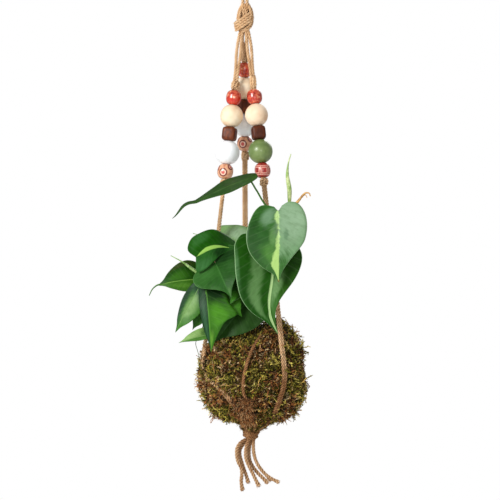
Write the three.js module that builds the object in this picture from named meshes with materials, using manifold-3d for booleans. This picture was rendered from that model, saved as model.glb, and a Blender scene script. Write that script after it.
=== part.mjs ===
// A kokedama: a moss ball planted with a trailing heart-leaf vine, hung in a beaded jute hanger.
// Millimetres, +Z up, front towards -Y. The origin is the hook's seat, inside the top of the hanging loop.
import * as THREE from "three";
import { mergeVertices } from "three/addons/utils/BufferGeometryUtils.js";
import Module from "manifold-3d";

const wasm = await Module();
wasm.setup();

// Cord: clearance between pieces, thickness of one jute strand, and its offset in the doubled strand of a leg
const GAP = 0.3;
const STRAND = 3;
const PLY_OFFSET = 1.25;
const CORD_SIDES = 8;

// Hanging loop: three strands turned over the hook
const LOOP_HALF_WIDTH = 9;
const LOOP_NECK_Z = -47;
const LOOP_FOOT_Z = -56.6;
const LOOP_PITCH = 3.4;
const BUNDLE_HALF_WIDTH = 2.1;
const LOOP_STEPS = 18;

// Knots: a core of crossed strands, and the turns of cord drawn tight round it, with their tilts in radians
const TOP_KNOT = {
  core: { centre: [-1, 0, -70], size: [6.8, 6.2, 11] },
  turns: [
    { centre: [0, 0, -59.6], radius: 3.1, cord: 2.7, tilt: [0, 0, 0] },
    { centre: [-0.4, 0, -66.5], radius: 4.3, cord: 2.7, tilt: [-0.2, -0.6, 0] },
    { centre: [-2.6, 0, -75], radius: 4.9, cord: 3.3, tilt: [0.15, -0.3, 0] },
    { centre: [-1, 0, -79.8], radius: 3.7, cord: 2.7, tilt: [0, 0, 0] },
  ],
};
const BOTTOM_KNOT = {
  core: { centre: [6.8, 0, -482.3], size: [8.2, 7.4, 5.8] },
  turns: [
    { centre: [7.4, 0, -482.3], radius: 5.6, cord: 2.6, tilt: [0.1, -0.35, 0] },
    { centre: [5.2, 0, -485.7], radius: 4.4, cord: 2.3, tilt: [0, 0, 0] },
  ],
};
const KNOT_ENTRY_Z = -479.7;
const KNOT_ENTRY_REACH = 1;

// Moss ball
const BALL = new THREE.Vector3(7, 0, -424);
const MOSS_RADIUS = 50.3;
const MOSS_RELIEF = 0.9;
const MOSS_INNER_RADIUS = 43.8;
const SOIL_RADIUS = 43.4;
const CROWN_RADIUS = 17;
const CROWN_DEPTH = 15;
const STEM_HOLE_LENGTH = 31;
const CORD_RADIUS = 54.2;
const TWINE_RADIUS = 54;

// Legs: azimuth from the front, positive to the right; distance down to the beads; length and radius of the
// stopper knots over and under them; colours of two beads; and the route over the ball in degrees
const LEG_START_RADIUS = 4.2;
const LEG_TOP_Z = -82.9;
const TANGENT_ELEVATION = 9;
const STRAIGHT_POINTS = 9;
const LEG_STEPS = 32;
const LEGS = [
  {
    name: "left",
    azimuth: -65,
    stack: 58.6,
    over: [10, 5],
    under: [9, 5],
    looks: { large: "white", patterned: "tan" },
    route: [[-63, 2], [-53, -5], [-38, -14], [-28, -27], [-22, -40], [-22, -55], [-25, -67]],
  },
  {
    name: "right",
    azimuth: 36,
    stack: 58.4,
    over: [15, 3.9],
    under: [8.5, 5],
    looks: { large: "green", patterned: "rose" },
    route: [[36, 0], [36, -12], [35, -24], [37, -38], [39, -50], [38, -60], [38, -68]],
  },
  {
    name: "back",
    azimuth: 187,
    stack: 29.2,
    over: [9, 4.6],
    under: [10, 4.6],
    looks: { large: "white", patterned: "tan" },
    route: [[186, 0], [184, -14], [182, -28], [180, -42], [180, -55], [180, -67]],
  },
];
const TWINE_STEPS = 38;
const TWINE_ROUTE = [
  [10, -67], [4, -55], [-2, -40], [-6, -25], [-9, -18], [-9, -3], [-5, 16], [0, 29], [10, 44],
  [28, 57], [62, 65], [100, 64], [126, 52], [138, 34], [142, 14], [144, -6], [146, -26], [148, -46],
  [146, -66],
];

// Beads, from the top of a stack down: width, length along the cord and sides
const BORE = 3.25;
const BORE_LIP = 0.6;
const BEADS = [
  { kind: "red", width: 15.2, length: 14.4, sides: 10 },
  { kind: "cream", width: 22.8, length: 22, sides: 14 },
  { kind: "brown", width: 13.8, length: 13.6, sides: 4 },
  { kind: "large", width: 24.2, length: 23.2, sides: 14 },
  { kind: "patterned", width: 15.8, length: 14.4, sides: 10 },
];
const CUBE_BEVEL = 2.4;
const CUBE_CORNER = 1.2;

// Tails: where each strand hangs below the bottom knot
const TAIL_STEPS = 9;
const TAILS = [
  [[0.8, -1.6, -489.2], [-4.6, -2.4, -492.8], [-7.9, -3, -498.3], [-8.2, -3, -504.6], [-7, -3, -511],
    [-3.9, -2.6, -517.4], [-3.1, -2.4, -523.8], [-3.8, -2.6, -530.2], [-2.7, -3, -539.2]],
  [[2.6, 2.2, -489], [-1.8, 2, -494.4], [-4.9, 1.8, -499.6], [-5.2, 1.6, -505], [-3.1, 1.6, -512.9],
    [-0.4, 1.8, -521.2], [1.6, 1.8, -527], [3, 1.6, -532.4]],
  [[4.2, -3.2, -489], [1.6, -4, -495], [0.7, -4.8, -501.5], [1, -5.2, -507.8], [3.4, -5.4, -514.2],
    [6.6, -5.4, -520.6], [9.6, -5.2, -527], [13.6, -5, -535]],
  [[6, 0.8, -489.2], [4.2, 0.6, -498], [4, 0.4, -504.6], [5, 0.2, -511], [8.4, 0, -517.4],
    [13.4, -0.2, -523.6], [17.8, -0.4, -527.9], [22, -0.6, -532.4]],
  [[8.6, -2.6, -488.8], [8.4, -3.4, -495.7], [9.2, -4.2, -503.4], [11.2, -4.8, -511], [15.6, -5, -518.6],
    [21.6, -5, -524.6], [27.4, -4.8, -528.6], [33, -4.6, -531.4]],
  [[8.8, 3, -488.8], [8.2, 3.8, -496], [8.6, 4.4, -503.6], [11, 4.8, -511.4], [15.4, 4.8, -518.8],
    [20.2, 4.6, -524.6], [25.4, 4.4, -530.4]],
];

// Heart-leaf blade: half outline as [share of the length, share of the half width, midrib share of its row]
const OUTLINE = [
  [-0.08, 0.13, 0], [-0.13, 0.38, 0], [-0.1, 0.7, 0.03], [0.04, 0.93, 0.14], [0.25, 1, 0.3],
  [0.48, 0.87, 0.5], [0.7, 0.55, 0.71], [0.86, 0.19, 0.87], [1, 0, 1],
];
const BLADE_COLUMNS = 2;
const BLADE_THICKNESS = 0.8;
const STALK_RADIUS = 0.9;
const STALK_SIDES = 6;
const STALK_STEP = 7;
const STALK_SINK = 0.6;
const STALK_ENDS = [0.01, 0.12];

// Vine stems: radius and route, from the soil up
const STEM_RADIUS = 1.8;
const STEM_STEP = 8;
const STEMS = {
  stem_right: [[13, -6, -391], [13, -6, -374], [16, -10, -352], [26, -14, -316], [36, -17, -286],
    [43, -18, -260], [44, -18, -253]],
  stem_left: [[1, -4, -391], [1, -4, -374], [-3, -12, -345], [-7, -19, -318], [-13, -22, -305],
    [-22, -24, -303], [-30, -25, -307]],
  stem_low: [[-4, -5, -391], [-4, -5, -383], [-5, -8, -375], [-10, -17, -365], [-20, -26, -356],
    [-32, -28, -347], [-38, -27, -340], [-38.5, -25.5, -331]],
};

// Leaves: notch, tip and the way the blade faces; then, left and right as seen with the tip down, the half
// widths, folds in degrees, pinch and slant towards the tip; how far the midrib bows to the right and arches
// outwards, the wave of the edge and the droop of the tip; and the stalk's route from the stem to the notch
const PLAIN_LEAF = { fold: [5, 5], pinch: [0, 0], slant: [0, 0], bow: 0, arch: 3, wave: 1, droop: 0 };
const LEAVES = {
  leaf_top_left: {
    base: [4, -44, -230], tip: [-72, -46, -267], facing: [-0.4, -0.22, 0.9],
    half: [18, 16], fold: [0, 0], pinch: [0.4, 0.4], arch: 1.5,
    stalk: [[41, -20.4, -262], [33, -28, -263], [20.6, -36, -256], [11, -42, -241]],
  },
  leaf_front_upper: {
    base: [32.6, -50, -262], tip: [33, -62, -331.5], facing: [0, -1, 0.1],
    half: [32, 28], fold: [4, 8], pinch: [0, 0.4], slant: [0.13, 0],
    stalk: [[42.6, -20.1, -264], [42, -30, -265], [37, -44, -263]],
  },
  leaf_front_lower: {
    base: [17, -42, -292], tip: [32.6, -56, -382], facing: [0.05, -1, 0.15],
    half: [33, 35], fold: [6, 8], pinch: [0, 0.75], bow: -2, arch: 4,
    stalk: [[16.5, -13, -350], [14, -24, -335], [13, -32, -312], [15, -38, -299]],
  },
  leaf_left_upper: {
    base: [-9, -27, -299], tip: [-48, -43, -307], facing: [-0.2, -0.95, 0.4],
    half: [21, 14], fold: [-5, -28], pinch: [-0.4, 0], slant: [0.3, 0.1], bow: -5, arch: 4,
    stalk: [[-11, -24.6, -305.5], [-8, -25, -302]],
  },
  leaf_behind: {
    base: [-13, -8, -291], tip: [28, -13, -303], facing: [0, -0.8, 0.6],
    half: [17, 19], droop: 2,
    stalk: [[-4, -14.5, -326], [-12, -11, -306]],
  },
  leaf_centre_left: {
    base: [-28, -38, -315], tip: [-13.5, -58.5, -346], facing: [-0.4, -0.6, 0.8],
    half: [27, 24], pinch: [0.6, 0.3], droop: 2,
    stalk: [[-28, -27.5, -308], [-28.5, -32, -311]],
  },
  leaf_far_left: {
    base: [-45, -20, -329], tip: [-86, -28, -334.5], facing: [-0.15, -0.95, 0.3],
    half: [20, 12], fold: [5, 0], droop: 2,
    stalk: [[-38, -23.8, -338.5], [-39, -21, -332]],
  },
  leaf_low_left: {
    base: [-46, -30, -338], tip: [-69, -33, -381], facing: [-0.2, -0.95, 0.1],
    half: [9, 15], fold: [8, 2], arch: 1, droop: 2,
    stalk: [[-39.6, -29, -340.2], [-43, -31, -339.5]],
  },
  leaf_lime_drop: {
    base: [-38, -43, -339], tip: [-33, -50, -400], facing: [0.1, -1, 0],
    half: [9, 22], fold: [-30, 4], arch: 4,
    stalk: [[-31.5, -30.8, -347.4], [-33.5, -37, -344.5]],
  },
  leaf_lime_side: {
    base: [-26, -32.5, -348], tip: [-3, -44, -364.5], facing: [0.1, -0.9, 0.4],
    half: [9, 13], droop: 2,
    stalk: [[-26.5, -29.8, -350.5], [-26.5, -31.4, -349.5]],
  },
  leaf_low_dark: {
    base: [7, -27, -346], tip: [-29, -38, -390], facing: [0, -0.9, 0.35],
    half: [17, 25],
    stalk: [[14.5, -12, -356], [11, -22, -350]],
  },
  leaf_low_side: {
    base: [-33, -31, -383], tip: [-65, -36, -391], facing: [-0.1, -0.95, 0.3],
    half: [8, 4], arch: 2, droop: 1,
    stalk: [[-22, -28.5, -357], [-27, -31, -370]],
  },
  leaf_low_back: {
    base: [-39, -24, -354], tip: [-52, -26, -379], facing: [-0.1, -1, 0],
    half: [7, 9], arch: 2, droop: 1,
    stalk: [[-35, -25.7, -346.5]],
  },
  leaf_centre_back: {
    base: [1, -33, -328], tip: [-15, -45, -354], facing: [-0.2, -0.95, 0.2],
    half: [11, 10], arch: 2,
    stalk: [[-4.8, -18.1, -332], [0, -26, -330]],
  },
};

// Rolled new leaves, the dried sheath and the hanging root: widest radius and route of each tapering spike
const SPIKES = {
  new_leaf_right: {
    radius: 2.4,
    route: [[44.1, -18.1, -252.4], [44, -19.4, -240], [42, -20, -226], [43, -20, -214], [45.5, -20, -205]],
  },
  new_leaf_left: {
    radius: 1.9,
    route: [[-38.8, -25.4, -330], [-46, -27.5, -323], [-53, -29.5, -318], [-62, -32, -311.5],
      [-73, -33, -305.5]],
  },
  new_leaf_small: {
    radius: 1.3,
    route: [[-29.7, -24.3, -304.4], [-37, -22, -294], [-44, -21, -286], [-51.5, -20, -283.5]],
  },
  dried_sheath: {
    radius: 1,
    route: [[45.7, -18.8, -256], [51, -20, -253.5], [56, -20.5, -247.5], [60, -21, -245.5],
      [61.5, -21, -248.5]],
  },
  aerial_root: {
    radius: 0.7,
    route: [[-33.5, -31, -351.5], [-37, -31, -362], [-40, -29, -372], [-45, -27, -384],
      [-48.5, -27.5, -391.5], [-46.5, -28.5, -400], [-44.5, -28.5, -407.5]],
  },
};
const SPIKE_STEPS = 9;
const SPIKE_SIDES = 6;
const SPIKE_TIP = 0.35;

const colours = {
  jute: 0xb98f62, red: 0xb84a33, cream: 0xf2ddb8, brown: 0x4a2413, white: 0xf4f4f1, green: 0x7c9a62,
  tan: 0xc98262, rose: 0xa8483c, moss: 0x5d5724, soil: 0x3b2a1c, stem: 0x6f8f3f, leaf: 0x2c5e26,
  lime: 0x86bd4a, dry: 0xc08a45,
};

function finish(colour, roughness) {
  return new THREE.MeshStandardMaterial({ color: colours[colour], roughness, metalness: 0 });
}

const vector = (point) => new THREE.Vector3(...point);

function smooth(points) {
  const route = points.map((p) => (p.isVector3 ? p : vector(p)));
  return new THREE.CatmullRomCurve3(route, false, "centripetal");
}

// A point over the moss ball, at an azimuth from the front, an elevation and a radius
function onBall(azimuth, elevation, radius = CORD_RADIUS) {
  const a = THREE.MathUtils.degToRad(azimuth);
  const e = THREE.MathUtils.degToRad(elevation);
  return new THREE.Vector3(Math.sin(a) * Math.cos(e), -Math.cos(a) * Math.cos(e), Math.sin(e))
    .multiplyScalar(radius)
    .add(BALL);
}

// A closed geometry as a solid facing out, and a solid back as a geometry
function solid(geometry) {
  const bare = new THREE.BufferGeometry().setAttribute("position", geometry.getAttribute("position"));
  if (geometry.index) bare.setIndex(geometry.index);
  const merged = mergeVertices(bare, 1e-3);
  const make = (triVerts) =>
    new wasm.Manifold(
      new wasm.Mesh({ numProp: 3, vertProperties: merged.attributes.position.array, triVerts }),
    );
  const made = make(new Uint32Array(merged.index.array));
  return made.volume() < 0 ? make(new Uint32Array([...merged.index.array].reverse())) : made;
}

function geometryOf(body) {
  const mesh = body.getMesh();
  const geometry = new THREE.BufferGeometry()
    .setAttribute("position", new THREE.BufferAttribute(new Float32Array(mesh.vertProperties), 3))
    .setIndex(new THREE.BufferAttribute(new Uint32Array(mesh.triVerts), 1));
  geometry.computeVertexNormals();
  return geometry;
}

const part = new THREE.Group();

function add(name, body, material, parent = part) {
  const mesh = new THREE.Mesh(geometryOf(body), material);
  mesh.name = name;
  parent.add(mesh);
  return mesh;
}

// A tube of the given cross-section, with the section's X turned as near to `across` as the route allows
function tube(curve, section, steps, across) {
  const frames = curve.computeFrenetFrames(steps, false);
  const turn = across ? Math.atan2(across.dot(frames.binormals[0]), across.dot(frames.normals[0])) : 0;
  const turned = section.map((p) => p.clone().rotateAround(new THREE.Vector2(), turn));
  const settings = { steps, bevelEnabled: false, extrudePath: curve };
  return solid(new THREE.ExtrudeGeometry(new THREE.Shape(turned), settings));
}

function roundSection(radius, sides) {
  return Array.from({ length: sides }, (_, i) => {
    const angle = (i / sides) * 2 * Math.PI;
    return new THREE.Vector2(Math.cos(angle), Math.sin(angle)).multiplyScalar(radius);
  });
}

// Two strands laid side by side, as one outline with a waist
function doubledSection() {
  const half = [-75, -25, 25, 75].map((degrees) => {
    const a = THREE.MathUtils.degToRad(degrees);
    return new THREE.Vector2(PLY_OFFSET + (Math.cos(a) * STRAND) / 2, (Math.sin(a) * STRAND) / 2);
  });
  const waist = new THREE.Vector2(0, STRAND * 0.3);
  const mirrored = half.map((p) => p.clone().negate());
  return [...half, waist, ...mirrored, waist.clone().negate()];
}

function ellipsoid(centre, size, across = 10, down = 6) {
  return solid(
    new THREE.SphereGeometry(1, across, down).rotateX(Math.PI / 2).scale(...size).translate(...centre),
  );
}

function turn({ centre, radius, cord, tilt }) {
  const tilted = new THREE.Quaternion().setFromEuler(new THREE.Euler(...tilt));
  return solid(new THREE.TorusGeometry(radius, cord, 6, 11).applyQuaternion(tilted).translate(...centre));
}

// Hanging loop: each strand rises from the knot, turns over the hook and comes back down
function addHangingLoop() {
  const top = STRAND / 2;
  for (const [index, offset] of [-LOOP_PITCH, 0, LOOP_PITCH].entries()) {
    const side = [
      [BUNDLE_HALF_WIDTH, LOOP_FOOT_Z],
      [BUNDLE_HALF_WIDTH, LOOP_NECK_Z],
      [BUNDLE_HALF_WIDTH + 1.2, LOOP_NECK_Z + 7],
      [LOOP_HALF_WIDTH - 1.6, LOOP_NECK_Z / 2],
      [LOOP_HALF_WIDTH, -LOOP_HALF_WIDTH - 1],
      [LOOP_HALF_WIDTH * 0.68, top - LOOP_HALF_WIDTH * 0.3],
    ];
    const right = side.map(([x, z]) => [x, offset, z]);
    const left = side.map(([x, z]) => [-x, offset, z]).reverse();
    const curve = smooth([...right, [0, offset, top], ...left]);
    const body = tube(curve, roundSection(STRAND / 2, CORD_SIDES), LOOP_STEPS);
    add("hanging_loop_strand_" + (index + 1), body, finish("jute", 0.95));
  }
}

// A knot: the crossed turns of the strands, pulled tight into one lump
function addKnot(name, knot) {
  const core = ellipsoid(knot.core.centre, knot.core.size);
  const body = knot.turns.reduce((lump, each) => lump.add(turn(each)), core);
  add(name, body, finish("jute", 0.95));
}

// Where a cord that comes down the ball at an azimuth meets the side of the bottom knot
function knotEntry(azimuth) {
  const a = THREE.MathUtils.degToRad(azimuth);
  const { centre, size } = BOTTOM_KNOT.core;
  return new THREE.Vector3(
    centre[0] + Math.sin(a) * (size[0] + KNOT_ENTRY_REACH),
    centre[1] - Math.cos(a) * (size[1] + KNOT_ENTRY_REACH),
    KNOT_ENTRY_Z,
  );
}

// A leg: straight from the top knot to where it touches the ball, then round under it to the bottom knot
function legLine(leg) {
  const a = THREE.MathUtils.degToRad(leg.azimuth);
  const start = new THREE.Vector3(
    LEG_START_RADIUS * Math.sin(a),
    -LEG_START_RADIUS * Math.cos(a),
    LEG_TOP_Z,
  );
  return { start, end: onBall(leg.azimuth, TANGENT_ELEVATION) };
}

// A small stopper knot round a leg, a given distance down it
function stopper(line, distance, length, radius) {
  const turned = new THREE.Quaternion().setFromUnitVectors(new THREE.Vector3(0, 0, -1), line.along);
  const centre = line.start.clone().addScaledVector(line.along, distance);
  const ball = new THREE.SphereGeometry(1, 10, 6).rotateX(Math.PI / 2).scale(radius, radius, length / 2);
  return solid(ball.applyQuaternion(turned).translate(...centre));
}

const stackLength = BEADS.reduce((sum, bead) => sum + bead.length + GAP, -GAP);

function addLeg(leg) {
  const line = legLine(leg);
  line.along = line.end.clone().sub(line.start).normalize();
  const straight = Array.from({ length: STRAIGHT_POINTS }, (_, i) =>
    line.start.clone().lerp(line.end, i / (STRAIGHT_POINTS - 1)));
  const around = leg.route.map(([azimuth, elevation]) => onBall(azimuth, elevation));
  const curve = smooth([...straight, ...around, knotEntry(leg.route.at(-1)[0])]);
  const a = THREE.MathUtils.degToRad(leg.azimuth);
  const across = new THREE.Vector3(Math.cos(a), Math.sin(a), 0);
  const body = tube(curve, doubledSection(), LEG_STEPS, across)
    .add(stopper(line, leg.stack - GAP - leg.over[0] / 2, ...leg.over))
    .add(stopper(line, leg.stack + stackLength + GAP + leg.under[0] / 2, ...leg.under));
  add("cord_leg_" + leg.name, body, finish("jute", 0.95));
  addBeads(leg, line);
}

// A turned bead: a flattened or barrel-shaped ball with its ends cut flat at the bore
function turnedBead({ width, length, sides }) {
  const radius = width / 2;
  const half = length / 2;
  const end = Math.acos((BORE + BORE_LIP) / radius);
  const profile = Array.from({ length: 7 }, (_, i) => {
    const angle = ((i - 3) / 3) * end;
    return new THREE.Vector2(radius * Math.cos(angle), (half * Math.sin(angle)) / Math.sin(end));
  });
  profile.push(new THREE.Vector2(BORE, half), new THREE.Vector2(BORE, -half), profile[0].clone());
  return solid(new THREE.LatheGeometry(profile, sides).rotateX(Math.PI / 2));
}

// A cube bead: a rounded block with a bore
function cubeBead({ width, length }) {
  const reach = width / 2 - CUBE_BEVEL;
  const cut = reach - CUBE_CORNER;
  const corners = [
    [-cut, -reach], [cut, -reach], [reach, -cut], [reach, cut],
    [cut, reach], [-cut, reach], [-reach, cut], [-reach, -cut],
  ];
  const face = new THREE.Shape(corners.map(([x, y]) => new THREE.Vector2(x, y)));
  const depth = length - 2 * CUBE_BEVEL;
  const settings = { depth, bevelThickness: CUBE_BEVEL, bevelSize: CUBE_BEVEL, bevelSegments: 2 };
  const block = solid(new THREE.ExtrudeGeometry(face, settings).translate(0, 0, -depth / 2));
  return block.subtract(solid(new THREE.CylinderGeometry(BORE, BORE, length + 2, 12).rotateX(Math.PI / 2)));
}

// Beads hang in one turned group per leg, which keeps them square to the cord
function addBeads(leg, line) {
  const stack = new THREE.Group();
  stack.position.copy(line.start);
  stack.quaternion.setFromUnitVectors(new THREE.Vector3(0, 0, -1), line.along);
  part.add(stack);
  let distance = leg.stack;
  for (const bead of BEADS) {
    const look = leg.looks[bead.kind] ?? bead.kind;
    const word = bead.kind === "large" ? look : bead.kind;
    const cube = bead.kind === "brown";
    const body = cube ? cubeBead(bead) : turnedBead(bead);
    const mesh = add(`bead_${word}_${leg.name}`, body, finish(look, 0.45), stack);
    mesh.position.z = -(distance + bead.length / 2);
    if (cube) mesh.rotation.z = THREE.MathUtils.degToRad(leg.azimuth / 5);
    distance += bead.length + GAP;
  }
}

// Moss ball: a lumpy skin of moss, open at the crown, round a ball of soil with holes for the stems
function addBall() {
  const skin = new THREE.IcosahedronGeometry(1, 6);
  const position = skin.getAttribute("position");
  const p = new THREE.Vector3();
  for (let i = 0; i < position.count; i++) {
    p.fromBufferAttribute(position, i).normalize();
    const lumps = Math.sin(7 * p.x + 1) * Math.sin(6 * p.y + 2) + Math.sin(8 * p.z + 5 * p.x) * 0.6;
    p.multiplyScalar(MOSS_RADIUS + MOSS_RELIEF * lumps);
    position.setXYZ(i, p.x, p.y, p.z);
  }
  const hollow = solid(new THREE.IcosahedronGeometry(MOSS_INNER_RADIUS, 3));
  const crown = new THREE.CylinderGeometry(CROWN_RADIUS, CROWN_RADIUS, 2 * CROWN_DEPTH, 20)
    .rotateX(Math.PI / 2)
    .translate(0, 0, MOSS_RADIUS);
  const moss = solid(skin).subtract(hollow).subtract(solid(crown)).translate(BALL.toArray());
  add("moss_skin", moss, finish("moss", 1));

  let soil = solid(new THREE.IcosahedronGeometry(SOIL_RADIUS, 3).translate(...BALL));
  const wide = STEM_RADIUS + GAP + 0.1;
  for (const [foot] of Object.values(STEMS)) {
    const hole = new THREE.CylinderGeometry(wide, wide, STEM_HOLE_LENGTH, 10).rotateX(Math.PI / 2);
    const [x, y, z] = foot;
    soil = soil.subtract(solid(hole.translate(x, y, z - GAP + STEM_HOLE_LENGTH / 2)));
  }
  add("soil_ball", soil, finish("soil", 1));
}

// Binding twine: up the front of the ball, round its crown and down the back, tied in at the bottom knot
function addTwine() {
  const points = TWINE_ROUTE.map(([azimuth, elevation]) => onBall(azimuth, elevation, TWINE_RADIUS));
  const curve = smooth([knotEntry(TWINE_ROUTE[0][0]), ...points, knotEntry(TWINE_ROUTE.at(-1)[0])]);
  const body = tube(curve, roundSection(STRAND / 2, CORD_SIDES), TWINE_STEPS);
  add("binding_twine", body, finish("jute", 0.95));
}

function addTails() {
  for (const [index, points] of TAILS.entries()) {
    const body = tube(smooth(points), roundSection(STRAND / 2, CORD_SIDES), TAIL_STEPS);
    add("tail_" + (index + 1), body, finish("jute", 0.95));
  }
}

// A leaf's own axes: along the midrib, out of the upper face, and to the right seen with the tip down
function leafAxes(leaf) {
  const base = vector(leaf.base);
  const along = vector(leaf.tip).sub(base);
  const length = along.length();
  along.normalize();
  const out = vector(leaf.facing);
  out.addScaledVector(along, -out.dot(along)).normalize();
  return { base, along, out, right: out.clone().cross(along), length };
}

// One point of the blade: s along the midrib, d of the half width to the side (-1 left, 1 right)
function leafPoint(leaf, axes, s, d) {
  const half = d < 0 ? 0 : 1;
  const pinch = 1 - leaf.pinch[half] * THREE.MathUtils.smoothstep(s, 0.4, 0.85);
  const reach = Math.abs(d) * leaf.half[half] * pinch;
  const fold = THREE.MathUtils.degToRad(leaf.fold[half]);
  const droop = Math.max(0, (s - 0.6) / 0.4);
  const raise = leaf.arch * Math.sin(Math.PI * s)
    + reach * Math.sin(fold)
    + leaf.wave * d * d * Math.sin(9 * s + Math.sign(d))
    - leaf.droop * droop * droop;
  return axes.base
    .clone()
    .addScaledVector(axes.along, s * axes.length)
    .addScaledVector(axes.right, Math.sign(d) * reach * Math.cos(fold) + leaf.bow * Math.sin(Math.PI * s))
    .addScaledVector(axes.out, raise);
}

// Both halves of the blade as one sheet of triangles, with the rows of the lobes fanned from the notch
function leafSheet(leaf, axes) {
  const points = new Map();
  const triangles = [];
  const corner = (side, row, column) => {
    const [s, d, rib] = OUTLINE[row];
    const share = column / BLADE_COLUMNS;
    const edge = s + d * leaf.slant[side < 0 ? 0 : 1];
    const here = leafPoint(leaf, axes, rib + (edge - rib) * share, side * d * share);
    const key = d === 0 ? "tip" : column === 0 ? "rib" + rib : [side, row, column].join();
    points.set(key, here);
    return key;
  };
  for (const side of [-1, 1]) {
    for (let row = 0; row + 1 < OUTLINE.length; row++) {
      for (let column = 0; column < BLADE_COLUMNS; column++) {
        const a = corner(side, row, column);
        const b = corner(side, row, column + 1);
        const c = corner(side, row + 1, column + 1);
        const d = corner(side, row + 1, column);
        const pair = [[a, b, c], [a, c, d]].map((t) => (side < 0 ? t : t.reverse()));
        triangles.push(...pair.filter((t) => new Set(t).size === 3));
      }
    }
  }
  return { points, triangles };
}

// A sheet given its thickness: the same triangles on both faces, and a rim round the open edge
function thicken({ points, triangles }, thickness) {
  const keys = [...points.keys()];
  const normals = new Map(keys.map((key) => [key, new THREE.Vector3()]));
  const edges = new Map();
  for (const t of triangles) {
    const [a, b, c] = t.map((key) => points.get(key));
    const normal = b.clone().sub(a).cross(c.clone().sub(a));
    t.forEach((key, i) => {
      normals.get(key).add(normal);
      edges.set(key + "|" + t[(i + 1) % 3], [key, t[(i + 1) % 3]]);
    });
  }
  const vertices = [];
  for (const side of [0.5, -0.5]) {
    for (const key of keys) {
      const out = normals.get(key).clone().normalize();
      vertices.push(...points.get(key).clone().addScaledVector(out, thickness * side));
    }
  }
  const top = new Map(keys.map((key, i) => [key, i]));
  const under = (key) => top.get(key) + keys.length;
  const index = [];
  for (const [a, b, c] of triangles) {
    index.push(top.get(a), top.get(b), top.get(c), under(c), under(b), under(a));
  }
  for (const [a, b] of edges.values()) {
    if (edges.has(b + "|" + a)) continue;
    index.push(top.get(a), under(a), under(b), top.get(a), under(b), top.get(b));
  }
  return solid(
    new THREE.BufferGeometry()
      .setAttribute("position", new THREE.Float32BufferAttribute(vertices, 3))
      .setIndex(index),
  );
}

function addLeaf(name, shape) {
  const leaf = { ...PLAIN_LEAF, ...shape };
  const axes = leafAxes(leaf);
  const blade = thicken(leafSheet(leaf, axes), BLADE_THICKNESS);
  const ends = STALK_ENDS.map((s) => leafPoint(leaf, axes, s, 0).addScaledVector(axes.out, -STALK_SINK));
  const curve = smooth([...leaf.stalk, ...ends]);
  const steps = Math.max(4, Math.round(curve.getLength() / STALK_STEP));
  const stalk = tube(curve, roundSection(STALK_RADIUS, STALK_SIDES), steps);
  const colour = name.includes("lime") ? "lime" : "leaf";
  add(name, blade.add(stalk), finish(colour, 0.35));
}

function addStems() {
  for (const [name, route] of Object.entries(STEMS)) {
    const curve = smooth(route);
    const steps = Math.round(curve.getLength() / STEM_STEP);
    add(name, tube(curve, roundSection(STEM_RADIUS, CORD_SIDES), steps), finish("stem", 0.5));
  }
}

// A spike: round sections that swell from the foot and run out to a fine tip
function addSpike(name, spike) {
  const curve = smooth(spike.route);
  const frames = curve.computeFrenetFrames(SPIKE_STEPS, false);
  const sides = SPIKE_SIDES;
  const vertices = [];
  for (let i = 0; i <= SPIKE_STEPS; i++) {
    const t = i / SPIKE_STEPS;
    const swell = 0.45 + 0.55 * Math.sin(Math.PI * Math.min(1, t * 1.25));
    const radius = Math.max(spike.radius * swell * (1 - 0.7 * t), SPIKE_TIP);
    for (const p of roundSection(radius, sides)) {
      const here = curve.getPointAt(t).addScaledVector(frames.normals[i], p.x);
      vertices.push(...here.addScaledVector(frames.binormals[i], p.y));
    }
  }
  const index = [];
  for (let i = 0; i < SPIKE_STEPS; i++) {
    for (let j = 0; j < sides; j++) {
      const a = i * sides + j;
      const b = i * sides + ((j + 1) % sides);
      index.push(a, b, b + sides, a, b + sides, a + sides);
    }
  }
  const last = SPIKE_STEPS * sides;
  for (let j = 1; j + 1 < sides; j++) {
    index.push(0, j + 1, j, last, last + j, last + j + 1);
  }
  const body = solid(
    new THREE.BufferGeometry()
      .setAttribute("position", new THREE.Float32BufferAttribute(vertices, 3))
      .setIndex(index),
  );
  const dry = name === "dried_sheath" || name === "aerial_root";
  add(name, body, finish(dry ? "dry" : "lime", 0.5));
}

addHangingLoop();
addKnot("top_knot", TOP_KNOT);
addKnot("bottom_knot", BOTTOM_KNOT);
LEGS.forEach(addLeg);
addBall();
addTwine();
addTails();
addStems();
Object.entries(LEAVES).forEach(([name, leaf]) => addLeaf(name, leaf));
Object.entries(SPIKES).forEach(([name, spike]) => addSpike(name, spike));

export default part;
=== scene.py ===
import bmesh
import bpy
import math
import numpy as np
import random
from functools import partialmethod
from mathutils import Matrix, Quaternion, Vector, geometry, kdtree, noise


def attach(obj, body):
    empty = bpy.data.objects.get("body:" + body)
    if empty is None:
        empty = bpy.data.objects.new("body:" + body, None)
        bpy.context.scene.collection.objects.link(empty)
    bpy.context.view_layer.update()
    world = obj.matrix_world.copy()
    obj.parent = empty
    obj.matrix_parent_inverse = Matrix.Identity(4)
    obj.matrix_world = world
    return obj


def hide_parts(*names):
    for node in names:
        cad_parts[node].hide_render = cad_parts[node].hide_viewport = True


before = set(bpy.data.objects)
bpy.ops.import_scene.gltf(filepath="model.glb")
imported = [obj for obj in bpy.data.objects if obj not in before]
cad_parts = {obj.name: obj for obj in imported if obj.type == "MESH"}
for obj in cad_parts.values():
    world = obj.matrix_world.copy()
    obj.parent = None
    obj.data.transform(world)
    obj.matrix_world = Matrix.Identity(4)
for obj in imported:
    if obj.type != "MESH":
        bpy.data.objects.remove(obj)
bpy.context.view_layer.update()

# The studio: a level camera two metres off, which spans half a metre at the plant, as in the photograph.
# Soft lamps from the upper left, the front and behind light the plant in a white room, over a plain pale
# floor that lies below the picture.
PLANT_MIDDLE = Vector((0, 0, -0.3))
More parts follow.
